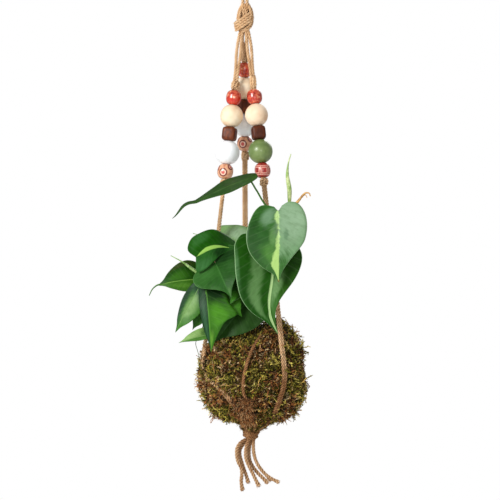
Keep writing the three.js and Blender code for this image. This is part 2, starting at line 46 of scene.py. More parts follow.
FLOOR_DEPTH = 0.76
FLOOR_COLOUR = (0.85, 0.85, 0.84, 1)
WALL_LIGHT = 0.42
camera = bpy.data.objects.new("camera", bpy.data.cameras.new("camera"))
camera.data.sensor_width = 36
camera.data.lens = 144
camera.location = (0.005, -2, -0.3)
camera.rotation_euler = (math.pi / 2, 0, 0)
bpy.context.collection.objects.link(camera)
bpy.context.scene.camera = camera
bpy.context.scene.view_settings.view_transform = "Standard"


def lamp(name, place, size, power):
    """A square soft lamp that faces the middle of the plant."""
    light = bpy.data.lights.new(name, "AREA")
    light.size = size
    light.energy = power
    made = bpy.data.objects.new(name, light)
    made.location = place
    made.rotation_euler = (PLANT_MIDDLE - Vector(place)).to_track_quat("-Z", "Y").to_euler()
    bpy.context.collection.objects.link(made)


lamp("key", (-1.0, -1.2, 0.35), 0.6, 25)
lamp("fill", (0.15, -1.8, -0.05), 0.5, 4.5)
lamp("back", (0.5, 1.2, 0.6), 0.8, 8)

room = bpy.data.worlds.new("white_room")
room.use_nodes = True
bpy.context.scene.world = room
tree = room.node_tree
mixed = tree.nodes.new("ShaderNodeMixShader")
soft, seen = tree.nodes["Background"], tree.nodes.new("ShaderNodeBackground")
for socket, wall, strength in ((1, soft, WALL_LIGHT), (2, seen, 1)):
    wall.inputs["Color"].default_value = (1, 1, 1, 1)
    wall.inputs["Strength"].default_value = strength
    tree.links.new(wall.outputs[0], mixed.inputs[socket])
tree.links.new(tree.nodes.new("ShaderNodeLightPath").outputs["Is Camera Ray"], mixed.inputs[0])
tree.links.new(mixed.outputs[0], tree.nodes["World Output"].inputs["Surface"])

bm = bmesh.new()
bmesh.ops.create_grid(bm, x_segments=1, y_segments=1, size=1.5)
bmesh.ops.translate(bm, vec=(0, 0, -FLOOR_DEPTH), verts=bm.verts)
floor = bpy.data.objects.new("floor", bpy.data.meshes.new("floor"))
bm.to_mesh(floor.data)
bm.free()
bpy.context.collection.objects.link(floor)
paint = bpy.data.materials.new("pale_floor")
paint.use_nodes = True
paint.node_tree.nodes["Principled BSDF"].inputs["Base Color"].default_value = FLOOR_COLOUR
floor.data.materials.append(paint)

# The six tails are the loose ends of the hanger, 45 to 55 mm of each strand below the bottom knot. They are
# three-ply jute twine, 3 mm thick, twisted hard and hairy, and they flare a little where they were cut.
STRAND = 3.0
TWIST_LENGTH = 9.0
STRAND_REACH = 1.7
ROUTE_STEP = 0.6
BELOW_KNOT = (-485, -498)
TAIL_SWELLS = (1.16, 1.16, 1.16, 1.16, 1.02, 1.02)
CUT_FLARE = 0.3
TAILS = [
    [(0.8, -1.6, -489.2), (-4.6, -2.4, -492.8), (-7.9, -3, -498.3), (-8.2, -3, -504.6), (-7, -3, -511),
     (-3.9, -2.6, -517.4), (-3.1, -2.4, -523.8), (-3.8, -2.6, -530.2), (-2.7, -3, -539.2)],
    [(2.6, 2.2, -489), (-1.8, 2, -494.4), (-4.9, 1.8, -499.6), (-5.2, 1.6, -505), (-3.1, 1.6, -512.9),
     (-0.4, 1.8, -521.2), (1.6, 1.8, -527), (3, 1.6, -532.4)],
    [(4.2, -3.2, -489), (1.6, -4, -495), (0.7, -4.8, -501.5), (1, -5.2, -507.8), (3.4, -5.4, -514.2),
     (6.6, -5.4, -520.6), (9.6, -5.2, -527), (13.6, -5, -535)],
    [(6, 0.8, -489.2), (4.2, 0.6, -498), (4, 0.4, -504.6), (5, 0.2, -511), (8.4, 0, -517.4),
     (13.4, -0.2, -523.6), (17.8, -0.4, -527.9), (22, -0.6, -532.4)],
    [(8.6, -2.6, -488.8), (8.4, -3.4, -495.7), (9.2, -4.2, -503.4), (11.2, -4.8, -511), (15.6, -5, -518.6),
     (21.6, -5, -524.6), (27.4, -4.8, -528.6), (33, -4.6, -531.4)],
    [(8.8, 3, -488.8), (8.2, 3.8, -496), (8.6, 4.4, -503.6), (11, 4.8, -511.4), (15.4, 4.8, -518.8),
     (20.2, 4.6, -524.6), (25.4, 4.4, -530.4)],
]


class Field:
    """A socket of a finish, wrapped so that each sign in shader maths adds its Math node."""

    def __init__(self, finish, socket):
        self.finish = finish
        self.socket = socket

    def math(self, operation, *values):
        return self.finish.node("Math", {"operation": operation}, dict(enumerate((self, *values))))

    __add__ = __radd__ = partialmethod(math, "ADD")
    __sub__ = partialmethod(math, "SUBTRACT")
    __mul__ = __rmul__ = partialmethod(math, "MULTIPLY")
    __truediv__ = partialmethod(math, "DIVIDE")
    __pow__ = partialmethod(math, "POWER")
    __abs__ = partialmethod(math, "ABSOLUTE")
    __gt__ = partialmethod(math, "GREATER_THAN")

    def __rsub__(self, other):
        return (self * -1) + other

    def ease(self, low, high):
        """Rises smoothly from 0 at low to 1 at high."""
        sockets = {"Value": self, "From Min": low, "From Max": high}
        return self.finish.node("MapRange", {"interpolation_type": "SMOOTHSTEP"}, sockets)


class Finish:
    """A procedural material: its constants are set on the shader, and its fields are built by node()."""

    def __init__(self, name, **constants):
        self.material = bpy.data.materials.new(name)
        self.material.use_nodes = True
        self.tree = self.material.node_tree
        self.shader = self.tree.nodes["Principled BSDF"]
        for word, value in constants.items():
            self.shader.inputs[word.replace("_", " ").title().replace("Ior", "IOR")].default_value = value

    def node(self, kind, settings=(), sockets=(), out=0):
        made = self.tree.nodes.new("ShaderNode" + kind)
        for word, value in dict(settings).items():
            if word == "stops":
                stops = made.color_ramp.elements
                for at, _ in value[2:]:
                    stops.new(at)
                for stop, (at, colour) in zip(stops, value):
                    stop.position = at
                    stop.color = colour
            else:
                setattr(made, word, value)
        for word, value in dict(sockets).items():
            if isinstance(value, Field):
                self.tree.links.new(value.socket, made.inputs[word])
            else:
                made.inputs[word].default_value = value
        return Field(self, made.outputs[out])

    def place(self, centre=(0, 0, 0)):
        """Where a point lies on the piece, in millimetres from a centre."""
        found = self.node("TexCoord", out=3)
        middle = tuple(value / 1000 for value in centre)
        sockets = {"Vector": found, "Location": middle, "Scale": (0.001, 0.001, 0.001)}
        return self.node("Mapping", {"vector_type": "TEXTURE"}, sockets)

    def axis(self, place, index):
        return self.node("SeparateXYZ", (), {0: place}, index)

    def vectors(self, operation, first, second, out=0):
        return self.node("VectorMath", {"operation": operation}, {0: first, 1: second}, out)

    def attribute(self, word):
        return self.node("Attribute", {"attribute_name": word}, (), 2)

    def noise(self, place, size, detail=3, roughness=0.55):
        """Soft noise whose blotches are about size millimetres across."""
        sockets = {"Vector": place, "Scale": 1 / size, "Detail": detail, "Roughness": roughness}
        return self.node("TexNoise", (), sockets)

    def ramp(self, field, *stops):
        return self.node("ValToRGB", {"stops": [(at, dye(*tone)) for at, tone in stops]}, {0: field})

    def levels(self, field, stops):
        """A plain number that follows its stops along a field."""
        greys = [(at, (level, level, level, 1)) for at, level in stops]
        return self.node("ValToRGB", {"stops": greys}, {0: field})

    def mix(self, factor, low, high, blend="MIX"):
        low, high = [dye(*tone) if isinstance(tone, tuple) else tone for tone in (low, high)]
        return self.node("Mix", {"data_type": "RGBA", "blend_type": blend}, {0: factor, 6: low, 7: high}, 2)

    def colour(self, field):
        self.tree.links.new(field.socket, self.shader.inputs["Base Color"])

    def bump(self, height, depth, strength=1.0):
        """Raises the surface by up to depth millimetres where height is 1."""
        made = self.node("Bump", (), {"Height": height, "Distance": depth / 1000, "Strength": strength})
        self.tree.links.new(made.socket, self.shader.inputs["Normal"])


def dye(red, green, blue):
    """A colour that is given as it looks, from 0 to 255, as a shader takes it."""
    levels = [value / 255 for value in (red, green, blue)]
    return (*[v / 12.92 if v < 0.04 else ((v + 0.055) / 1.055) ** 2.4 for v in levels], 1)


def smooth_route(points, step=ROUTE_STEP):
    """A smooth curve through listed points, as evenly spaced points."""
    points = [Vector(point) for point in points]
    points = [2 * points[0] - points[1], *points, 2 * points[-1] - points[-2]]
    fine = []
    for before, start, end, after in zip(points, points[1:], points[2:], points[3:]):
        a, b, c = [math.sqrt((q - p).length) or 1 for p, q in ((before, start), (start, end), (end, after))]
        leave = (start - before) / a - (end - before) / (a + b) + (end - start) / b
        arrive = (end - start) / b - (after - start) / (b + c) + (after - end) / c
        pieces = max(3, int((end - start).length / step) + 2)
        handles = start + leave * b / 3, end - arrive * b / 3
        fine += geometry.interpolate_bezier(start, *handles, end, pieces)[:-1]
    fine.append(points[-2])
    line = np.array(fine)
    along = np.concatenate([[0], np.cumsum(np.linalg.norm(np.diff(line, axis=0), axis=1))])
    stops = np.linspace(0, along[-1], max(2, round(along[-1] / step) + 1))
    return [Vector(point) for point in np.stack([np.interp(stops, along, axis) for axis in line.T], axis=1)]


def outline(points):
    """A closed flat outline that a sweep carries along a route."""
    data = bpy.data.curves.new("outline", "CURVE")
    spline = data.splines.new("POLY")
    spline.points.add(len(points) - 1)
    for point, (x, y) in zip(spline.points, points):
        point.co = (x, y, 0, 1)
    spline.use_cyclic_u = True
    return bpy.data.objects.new("outline", data)


def clover(radius, plies=3):
    """The section of a twine: plies laid together, each a lobe."""
    ply = radius * 0.5
    points = []
    for index in range(plies):
        facing = 2 * math.pi * index / plies
        for degrees in (-108, -62, -22, 22, 62, 108):
            angle = facing + math.radians(degrees)
            points.append((
                (radius - ply) * math.cos(facing) + ply * math.cos(angle),
                (radius - ply) * math.sin(facing) + ply * math.sin(angle),
            ))
    return outline(points)


def circle(radius, sides):
    turns = [2 * math.pi * index / sides for index in range(sides)]
    return outline([(radius * math.cos(turn), radius * math.sin(turn)) for turn in turns])


def sweep(bm, route, section, twist_length=0, width=None):
    """Carries a section along a route, turned as twine turns and scaled by width(share of the route)."""
    data = bpy.data.curves.new("sweep", "CURVE")
    data.dimensions = "3D"
    data.bevel_mode = "OBJECT"
    data.bevel_object = section
    data.use_fill_caps = True
    spline = data.splines.new("POLY")
    spline.points.add(len(route) - 1)
    travelled = 0
    for index, (point, here) in enumerate(zip(spline.points, route)):
        travelled += (here - route[index - 1]).length if index else 0
        point.co = (*here, 1)
        point.tilt = 2 * math.pi * travelled / twist_length if twist_length else 0
        point.radius = width(index / (len(route) - 1)) if width else 1
    holder = bpy.data.objects.new("sweep", data)
    for part in (section, holder):
        bpy.context.collection.objects.link(part)
    mesh = bpy.data.meshes.new_from_object(holder.evaluated_get(bpy.context.evaluated_depsgraph_get()))
    sides = len(section.data.splines[0].points)
    count = len(route) * sides
    rings = np.array([vertex.co for vertex in mesh.vertices[:count]]).reshape(len(route), sides, 3)
    reach = np.linalg.norm(rings - np.array(route)[:, None], axis=2)
    # Painted shade: how deep each point of a ring lies between the plies, which the finish darkens.
    sunk = np.zeros(len(mesh.vertices))
    sunk[:count] = (2 - 2 * reach / reach.max(axis=1, keepdims=True)).clip(0, 1).ravel()
    mesh.attributes.new("groove", "FLOAT", "POINT").data.foreach_set("value", sunk)
    bm.from_mesh(mesh)
    bpy.data.meshes.remove(mesh)
    bpy.data.objects.remove(holder)
    bpy.context.collection.objects.unlink(section)


def piece(name, bm, finish, slot, *nodes):
    """Ends a piece: brings it to metres, with its finish, its body and the nodes that it stands for."""
    bmesh.ops.remove_doubles(bm, verts=bm.verts, dist=0.002)
    bmesh.ops.scale(bm, vec=(0.001, 0.001, 0.001), verts=bm.verts)
    mesh = bpy.data.meshes.new(name)
    bm.to_mesh(mesh)
    bm.free()
    mesh.shade_smooth()
    mesh.materials.append(finish.material)
    made = bpy.data.objects.new(name, mesh)
    bpy.context.collection.objects.link(made)
    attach(made, "root")
    if nodes:
        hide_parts(*nodes)
    return made


def twist_finish(name, dry, soaked):
    """Golden jute with painted shade in the grooves between its plies, stained brown from dry down to soaked.
    """
    jute = Finish(name, roughness=0.95, specular_ior_level=0.06, sheen_weight=0.04, sheen_roughness=0.5)
    place = jute.place()
    height = jute.axis(place, 2)
    groove = jute.attribute("groove")
    fibres = jute.noise(place, 0.6, 4, 0.75)
    worn = jute.noise(place, 6, 2)
    shade = fibres * 0.7 + worn * 0.3
    pale = jute.ramp(shade, (0.32, (162, 114, 68)), (0.5, (224, 182, 136)), (0.66, (252, 228, 190)))
    wet = jute.ramp(shade, (0.32, (80, 45, 22)), (0.5, (138, 90, 52)), (0.66, (194, 144, 96)))
    damp = height.ease(dry, soaked) * 0.9 - height.ease(*BELOW_KNOT) * 0.58
    strand = jute.mix(damp, pale, wet)
    # Painted shade: the twine is darkened by how deep each point lies in the grooves between its plies.
    shadow = jute.mix(1, strand, (104, 66, 40), "MULTIPLY")
    jute.colour(jute.mix(groove.ease(0.05, 0.7) * 0.95, strand, shadow))
    jute.bump(fibres, 0.4, 0.8)
    return jute


jute = twist_finish("jute", -404, -432)
twine = clover(STRAND_REACH)
hair_routes = []


def run_twine(bm, route, section=twine, width=None):
    """Runs one twisted strand along a route, which the loose fibres then follow too."""
    sweep(bm, route, section, TWIST_LENGTH, width)
    hair_routes.append(route)
    return bm


for number, (points, swell) in enumerate(zip(TAILS, TAIL_SWELLS), 1):
    route = smooth_route(points)
    bm = run_twine(bmesh.new(), route, twine, lambda share: swell + CUT_FLARE * max(0, share - 0.9) / 0.1)
    tail = piece("jute_tail_%d" % number, bm, jute, "jute", "tail_%d" % number)
    length = sum((after - before).length for before, after in zip(route, route[1:]))

# The hanging loop: the three strands come up out of the top knot, turn over the hook and go back down beside
# themselves. The knot below is one overhand knot in all the strands, drawn into a lump 19 mm wide.
LOOP_SIDE = [(2.1, -56.6), (2.1, -47), (3.3, -40), (7.4, -23.5), (9, -10), (6.1, -1.2)]
LOOP_TOP = 1.5
LOOP_PITCH = 3.4
CORE_SHADE = 0.45
KNOT_STEPS = 90
TOP_KNOT = {
    "middle": (-1, 0, -69), "core": (6, 5, 11.5), "strand": 2.7, "pitch": 2.3,
    "turns": [
        (2, [(-1, -2, -54), (-4.2, -3.4, -59), (-6, -4.6, -65), (-6.4, -4.4, -71), (-3, -2, -75)]),
        (2, [(2.6, -1.6, -54), (5.4, -3.6, -59.4), (6.6, -4.8, -65), (4.6, -4, -71), (1, 0, -74)]),
        (2, [(-1.4, -3.2, -54), (-0.8, -4.2, -60), (0.2, -3.6, -66)]),
        (4, [(2, 4, -60), (6.6, 1.4, -62.6), (6.4, -4, -66), (1, -7.6, -71), (-6.4, -7, -75.8),
             (-9.6, -1, -77), (-6.4, 5, -74), (1, 6.6, -69), (6, 3.4, -65)]),
        (2, [(3, 4, -60), (7, 1, -66), (7.2, -2.6, -71), (5.4, -4.6, -76), (1.4, -5.4, -79.6),
             (-3.6, -3.6, -81), (-5, 1, -80.6)]),
        (2, [(3, 2.6, -79), (3, -2, -79.4), (-0.6, -4.4, -80.4), (-4.4, -2.4, -81), (-4.4, 2.4, -81),
             (-0.6, 4, -80), (3, 2.6, -79)]),
    ],
}


def lay(bm, count, pitch, route, outward, section):
    """Strands side by side along a route, pitch(share of the route) apart, across the way that it faces."""
    last = len(route) - 1
    for number in range(count):
        line = []
        for index, here in enumerate(route):
            ahead = route[min(index + 1, last)] - route[max(index - 1, 0)]
            across = ahead.cross(outward(here)).normalized()
            line.append(here + across * pitch(index / last) * (number - (count - 1) / 2))
        run_twine(bm, line, section)


def tie(bm, middle, core, strand, pitch, turns):
    """A tight knot: turns of strands laid side by side round a hidden core."""
    middle = Vector(middle)
    section = clover(strand / 2)
    for count, points in turns:
        lay(bm, count, lambda share: pitch, smooth_route(points),
            lambda here: (here - middle) * Vector((1, 1, 0.2)), section)
    seat = Matrix.LocRotScale(middle, None, core)
    grown = bmesh.ops.create_icosphere(bm, subdivisions=3, radius=1, matrix=seat)["verts"]
    # Painted shade: the core, seen only between the turns, is darkened part way as the shade there.
    groove = bm.verts.layers.float["groove"]
    for vertex in grown:
        vertex[groove] = CORE_SHADE


def overhand(bm, centre, width, length, turn, axis, strand):
    """The crossing turns of an overhand knot, drawn tight round what goes through it."""
    reach = (width - strand) / 6
    rise = (length - strand) / 2
    facing = Vector(axis).to_track_quat("Z", "Y") @ Quaternion((0, 0, 1), math.radians(turn))
    route = []
    for index in range(KNOT_STEPS + 1):
        t = 2 * math.pi * index / KNOT_STEPS
        round_about = Vector((
            reach * (math.sin(t) + 2 * math.sin(2 * t)),
            reach * (math.cos(t) - 2 * math.cos(2 * t)),
            -rise * math.sin(3 * t),
        ))
        route.append(Vector(centre) + facing @ round_about)
    run_twine(bm, route, clover(strand / 2))


for number, offset in enumerate((-LOOP_PITCH, 0, LOOP_PITCH), 1):
    right = [(x, offset, z) for x, z in LOOP_SIDE]
    left = [(-x, offset, z) for x, z in reversed(LOOP_SIDE)]
    bm = run_twine(bmesh.new(), smooth_route([*right, (0, offset, LOOP_TOP), *left]))
    piece("jute_loop_%d" % number, bm, jute, "jute", "hanging_loop_strand_%d" % number)

bm = bmesh.new()
tie(bm, **TOP_KNOT)
x, z = LOOP_SIDE[0]
for side in (-1, 1):
    for offset in (-LOOP_PITCH, 0, LOOP_PITCH):
        into = smooth_route([(side * x, offset, z + 0.3), (side * 1.4, offset * 0.8, z - 8)])
        sweep(bm, into, twine, TWIST_LENGTH)
piece("jute_top_knot", bm, jute, "jute", "top_knot")

# The legs: from the top knot a doubled strand runs down each of three sides, through five beads between two
# stopper knots, touches the ball at its widest and is drawn in under it to the bottom knot.
BALL = Vector((7, 0, -424))
CORD_RADIUS = 54.2
STRAND_APART = 2.4
SPREAD = 1.8
LEG_START = 4.2
LEG_TOP = -82.9
TANGENT_ELEVATION = 9
KNOT_ENTRY = {"centre": Vector((6.8, 0, -479.7)), "reach": (9.2, 8.4)}
LEGS = {
    "left": {
        "azimuth": -65, "stack": 58.6, "over": (10, 5), "under": (9, 5), "sunk": 2.8,
        "route": [(-63, 2), (-53, -5), (-38, -14), (-28, -27), (-22, -40), (-22, -55), (-25, -67)],
    },
    "right": {
        "azimuth": 36, "stack": 58.4, "over": (15, 3.9), "under": (8.5, 5),
        "route": [(36, 0), (35, -12), (33, -24), (33, -38), (35, -50), (36, -60), (38, -68)],
    },
    "back": {
        "azimuth": 187, "stack": 29.2, "over": (9, 4.6), "under": (10, 4.6),
        "route": [(186, 0), (184, -14), (182, -28), (180, -42), (180, -55), (180, -67)],
    },
}
STOPPER_TURNS = ((30, 2, 1, 2.9), (95, 1.7, 0.8, 2.7))
GAP = 0.3
BEADS = {
    "red": {"width": 15.2, "length": 14.4, "barrel": 2.5, "square": 2},
    "cream": {"width": 22.8, "length": 22, "barrel": 2, "square": 2},
    "brown": {"width": 13.8, "length": 13.6, "barrel": 5, "square": 5},
    "large": {"width": 24.2, "length": 23.2, "barrel": 2, "square": 2},
    "patterned": {"width": 15.8, "length": 14.4, "barrel": 2.4, "square": 2},
}
STACK_LENGTH = sum(bead["length"] + GAP for bead in BEADS.values()) - GAP


def on_ball(azimuth, elevation, radius=CORD_RADIUS):
    """A point over the moss ball, by its angles from the front and from the ball's middle."""
    a, e = math.radians(azimuth), math.radians(elevation)
    return BALL + radius * Vector((math.sin(a) * math.cos(e), -math.cos(a) * math.cos(e), math.sin(e)))


def knot_entry(azimuth):
    """Where a cord that comes down the ball meets the side of the bottom knot."""
    a = math.radians(azimuth)
    x, y = KNOT_ENTRY["reach"]
    return KNOT_ENTRY["centre"] + Vector((x * math.sin(a), -y * math.cos(a), 0))


def leg_line(leg):
    a = math.radians(leg["azimuth"])
    start = Vector((LEG_START * math.sin(a), -LEG_START * math.cos(a), LEG_TOP))
    end = on_ball(leg["azimuth"], TANGENT_ELEVATION)
    return start, end, (end - start).normalized()


for name, leg in LEGS.items():
    start, end, along = leg_line(leg)
    straight = [start.lerp(end, index / 8) for index in range(9)]
    tucked = Vector((start.x * 0.5, start.y * 0.5, start.z + 5))
    around = [on_ball(*point, CORD_RADIUS - leg.get("sunk", 0)) for point in leg["route"]]
    middle = smooth_route([tucked, *straight, *around, knot_entry(leg["route"][-1][0])])
    whole = len(middle) * ROUTE_STEP

    def apart(share):
        down = min(1, share * whole / (leg["stack"] - leg["over"][0]))
        return STRAND_APART * (0.8 + 0.2 * down) + SPREAD * max(0, math.sin(math.pi * down)) ** 2

    def outward(here):
        share = min(1, max(0, (LEG_TOP - leg["stack"] - here.z) / STACK_LENGTH))
        flat = here - BALL
        flat.z = min(0, flat.z)
        return Vector((0, -1, 0)).lerp(flat.normalized(), share)

    bm = bmesh.new()
    lay(bm, 2, apart, middle, outward, twine)
    over, under = leg["over"], leg["under"]
    for down, (long, half) in (
        (leg["stack"] - GAP - over[0] / 2, over),
        (leg["stack"] + STACK_LENGTH + GAP + under[0] / 2, under),
    ):
        for turn, wide, tall, strand in STOPPER_TURNS:
            overhand(bm, start + along * down, half * wide, long * tall, turn, along, strand)
    twist = twist_finish("frayed_jute", -424, -462) if name == "left" else jute
    piece("jute_leg_" + name, bm, twist, "jute", "cord_leg_" + name)

# The bottom knot gathers the legs and the twine under the ball. It is one overhand knot in all of them, 16 mm
# wide, and the tails are what hangs out of it.
BOTTOM_KNOT = {
    "middle": (6.6, 0, -481.5), "core": (7, 6, 5.6), "strand": 3, "pitch": 2.4,
    "turns": [
        (2, [(14.2, 2, -475.6), (12.6, -5.4, -476.2), (6.4, -8.4, -477), (0, -5.6, -477.2), (-1, 1.4, -477.2),
             (3.6, 6.8, -476.8), (11, 6.2, -476.2), (14.2, 2, -475.6)]),
        (3, [(13.4, 2, -479), (12.6, -4, -480), (7, -7.4, -481.6), (0.8, -5, -482.8), (-0.8, 1, -482.6),
             (3, 6, -481.6), (10, 6, -480), (13.4, 2, -479)]),
        (2, [(-2, -3, -477.4), (1, -6.4, -479.4), (6, -8.4, -483), (10.4, -6, -485.4), (12, 0, -485),
             (9, 4.4, -484)]),
        (2, [(1.6, 3, -484), (1, -3, -485), (5, -6, -486.6), (9.6, -4, -487), (10.4, 2, -486)]),
    ],
}
bm = bmesh.new()
tie(bm, **BOTTOM_KNOT)
piece("jute_bottom_knot", bm, jute, "jute", "bottom_knot")

# The binding twine holds the moss on: a single strand up the front, round the crown and down the back, tied
# into the bottom knot.
TWINE_RADIUS = 54
TWINE_ROUTE = [
    (10, -67), (4, -55), (-2, -40), (-6, -25), (-9, -18), (-9, -3), (-5, 16), (0, 29), (10, 44), (28, 57),
    (62, 65), (100, 64), (126, 52), (138, 34), (142, 14), (144, -6), (146, -26), (148, -46), (146, -66),
]
over_ball = [on_ball(*point, TWINE_RADIUS) for point in TWINE_ROUTE]
ends = [knot_entry(TWINE_ROUTE[end][0]) for end in (0, -1)]
bm = run_twine(bmesh.new(), smooth_route([ends[0], *over_ball, ends[1]]))
piece("jute_binding", bm, twist_finish("damp_jute", -340, -372), "jute", "binding_twine")

# Loose jute fibres: the twine's own hairs, 1 to 3 mm long, which stand off every strand and fray out of the
# cut ends of the tails.
HAIRS_PER_MM = 2.2
HAIRS_PER_END = 110
HAIR_RADIUS = 0.07
HAIR_LENGTHS = (0.9, 2.6)
FRAY_LENGTHS = (1.2, 3.4)
random.seed(5)


def scatter(shape, places, tints):
    """Copies of one small mesh, each with a tint of its own, and with the height up the copy in "up"."""
    points = np.array([vertex.co for vertex in shape.verts])
    corners = np.array([[vertex.index for vertex in face.verts] for face in shape.faces])
    places = np.array(places)
    spread = np.einsum("kij,nj->kni", places[:, :3, :3], points) + places[:, None, :3, 3]
    faces = corners[None] + (np.arange(len(places)) * len(points))[:, None, None]
    mesh = bpy.data.meshes.new("scattered")
    mesh.from_pydata(spread.reshape(-1, 3).tolist(), [], faces.reshape(-1, 3).tolist())
    tints = np.repeat(np.array(tints, dtype=float), len(points))
    for word, values in (("tint", tints), ("up", np.tile(points[:, 2], len(places)))):
        mesh.attributes.new(word, "FLOAT", "POINT").data.foreach_set("value", values)
    bm = bmesh.new()
    bm.from_mesh(mesh)
    return bm


def stand(root, facing, length, thick, spin=0):
    """The place and size of something 1 long that grows from a root towards facing."""
    turned = facing.to_track_quat("Z", "Y") @ Quaternion((0, 0, 1), spin)
    return Matrix.LocRotScale(root, turned, (thick, thick, length))


def jitter():
    return Vector((random.gauss(0, 1), random.gauss(0, 1), random.gauss(0, 1)))


def thread(radius, point_radius, cuts):
    """A thin three-sided stem 1 long, cut into lengths so that it can bend."""
    bm = bmesh.new()
    bmesh.ops.create_cone(bm, cap_ends=False, segments=3, radius1=radius, radius2=point_radius, depth=1,
                          matrix=Matrix.Translation((0, 0, 0.5)))
    tall = [edge for edge in bm.edges if abs(edge.verts[0].co.z - edge.verts[1].co.z) > 0.5]
    bmesh.ops.subdivide_edges(bm, edges=tall, cuts=cuts)
    return bm


def triangles(bm):
    bmesh.ops.triangulate(bm, faces=bm.faces)
    bm.verts.index_update()
    return bm


def fibre(radius, bend):
    """A tapering thread 1 long that leans over by bend."""
    bm = thread(radius, radius * 0.4, 1)
    for vertex in bm.verts:
        vertex.co.x += bend * vertex.co.z ** 2
    return triangles(bm)


places = []
for route in hair_routes:
    for _ in range(int(len(route) * ROUTE_STEP * HAIRS_PER_MM)):
        index = random.randrange(len(route) - 1)
        ahead = (route[index + 1] - route[index]).normalized()
        outward = ahead.cross(jitter()).normalized()
        root = route[index] + outward * STRAND * 0.36
        lean = random.choice((-1, 1)) * random.uniform(0.8, 2.4)
        length, spin = random.uniform(*HAIR_LENGTHS), random.uniform(0, 6)
        places.append(stand(root, outward + ahead * lean, length, HAIR_RADIUS, spin))
for route in hair_routes[:len(TAILS)]:
    ahead = (route[-1] - route[-5]).normalized()
    for _ in range(HAIRS_PER_END):
        root = route[-3] + ahead.cross(jitter()).normalized() * random.uniform(0, STRAND * 0.72)
        facing = ahead + jitter() * 0.2
        length, spin = random.uniform(*FRAY_LENGTHS), random.uniform(0, 6)
        places.append(stand(root, facing, length, HAIR_RADIUS * 2, spin))
piece("jute_hairs", scatter(fibre(1, 2.6), places, [0] * len(places)), jute, "jute")

# Beads: turned wood, threaded on both strands of a leg: a red, a bare cream, a brown cube, a large painted
# one and a small patterned one. On the right leg the cream is pinker, the cube darker, the large one sage
# green and the patterned one red.
BORE = 3.2
RIGHT_LEG = (8, ((62, 26, 12), (92, 42, 18)), "green", 0.3, "rose")
OTHER_LEGS = (0, ((78, 34, 14), (122, 60, 26)), "white", 0.1, "tan")
PAINTS = {"green": ((98, 120, 62), (116, 136, 76)), "white": ((242, 246, 248), (252, 253, 254))}
LOW_FLUSH = {"left": 0.9, "right": 0.4, "back": 0}
FLUSH_BAND = (-143.5, -148)
SPIN_STEPS = {"arc": 28, "round": 56}
TAN_RINGS = [((-0.3, -1, -0.12), 3.6), ((0.75, -0.7, 0.62), 2.4), ((-1, -0.25, 0.55), 2.2),
             ((0.3, 1, 0), 3.6), ((-1, 0.8, -0.5), 2.4), ((1, 0.5, -0.3), 3)]
ROSE_PANELS = 6


def bead_body(width, length, barrel, square):
    """A bead lathed about Z from a barrel-shaped arc, with its bore, then squared off if it is a cube."""
    bm = bmesh.new()
    radius = width / 2
    end = math.acos((BORE + 0.5) / radius)
    first = bm.verts.new((math.cos(end), 0, math.sin(end)))
    bmesh.ops.spin(bm, geom=[first], cent=(0, 0, 0), axis=(0, 1, 0), angle=2 * end,
                   steps=SPIN_STEPS["arc"])
    for vertex in bm.verts:
        x, z = vertex.co.x, vertex.co.z
        spread = (abs(x) ** barrel + abs(z) ** barrel) ** (-1 / barrel)
        vertex.co = (x * spread * radius, 0, z * spread)
    top = max(vertex.co.z for vertex in bm.verts)
    bmesh.ops.scale(bm, vec=(1, 1, length / 2 / top), verts=bm.verts)
    bm.verts.ensure_lookup_table()
    ends = sorted(bm.verts, key=lambda vertex: vertex.co.z)
    lip = [bm.verts.new((BORE, 0, vertex.co.z)) for vertex in (ends[0], ends[-1])]
    bm.edges.new((ends[0], lip[0]))
    bm.edges.new((lip[0], lip[1]))
    bm.edges.new((lip[1], ends[-1]))
    bmesh.ops.spin(bm, geom=bm.verts[:] + bm.edges[:], cent=(0, 0, 0), axis=(0, 0, 1), angle=2 * math.pi,
                   steps=SPIN_STEPS["round"], use_merge=True)
    for vertex in bm.verts:
        flat = Vector((vertex.co.x, vertex.co.y, 0))
        if square > 2 and flat.length > BORE + 0.01:
            x, y = abs(flat.normalized().x), abs(flat.normalized().y)
            spread = (x ** square + y ** square) ** (-1 / square)
            vertex.co.xy *= 1 + (spread - 1) * min(1, flat.length / radius)
    bmesh.ops.recalc_face_normals(bm, faces=bm.faces)
    return bm


def bead_seat(kind, leg_name):
    """The middle of a bead on its leg, and the way that the leg runs."""
    start, _, along = leg_line(LEGS[leg_name])
    before = list(BEADS)[:list(BEADS).index(kind)]
    above = sum(BEADS[other]["length"] + GAP for other in before)
    return start + along * (LEGS[leg_name]["stack"] + above + BEADS[kind]["length"] / 2), along


def glaze_bead(finish, kind, leg_name, slot):
    """Puts a bead of one kind in its place on a leg."""
    centre, along = bead_seat(kind, leg_name)
    facing = Vector((0, 0, -1)).rotation_difference(along)
    if kind == "brown":
        facing = facing @ Quaternion((0, 0, 1), math.radians(LEGS[leg_name]["azimuth"] / 5))
    bm = bead_body(**BEADS[kind])
    bmesh.ops.transform(bm, matrix=Matrix.LocRotScale(centre, facing, None), verts=bm.verts)
    word = slot.replace("bead_", "") if kind == "large" else kind
    piece("turned_%s_%s" % (word, leg_name), bm, finish, slot, "bead_%s_%s" % (word, leg_name))


def lacquer(name, roughness, coat):
    return Finish(name, roughness=roughness, coat_weight=coat, coat_roughness=0.18)


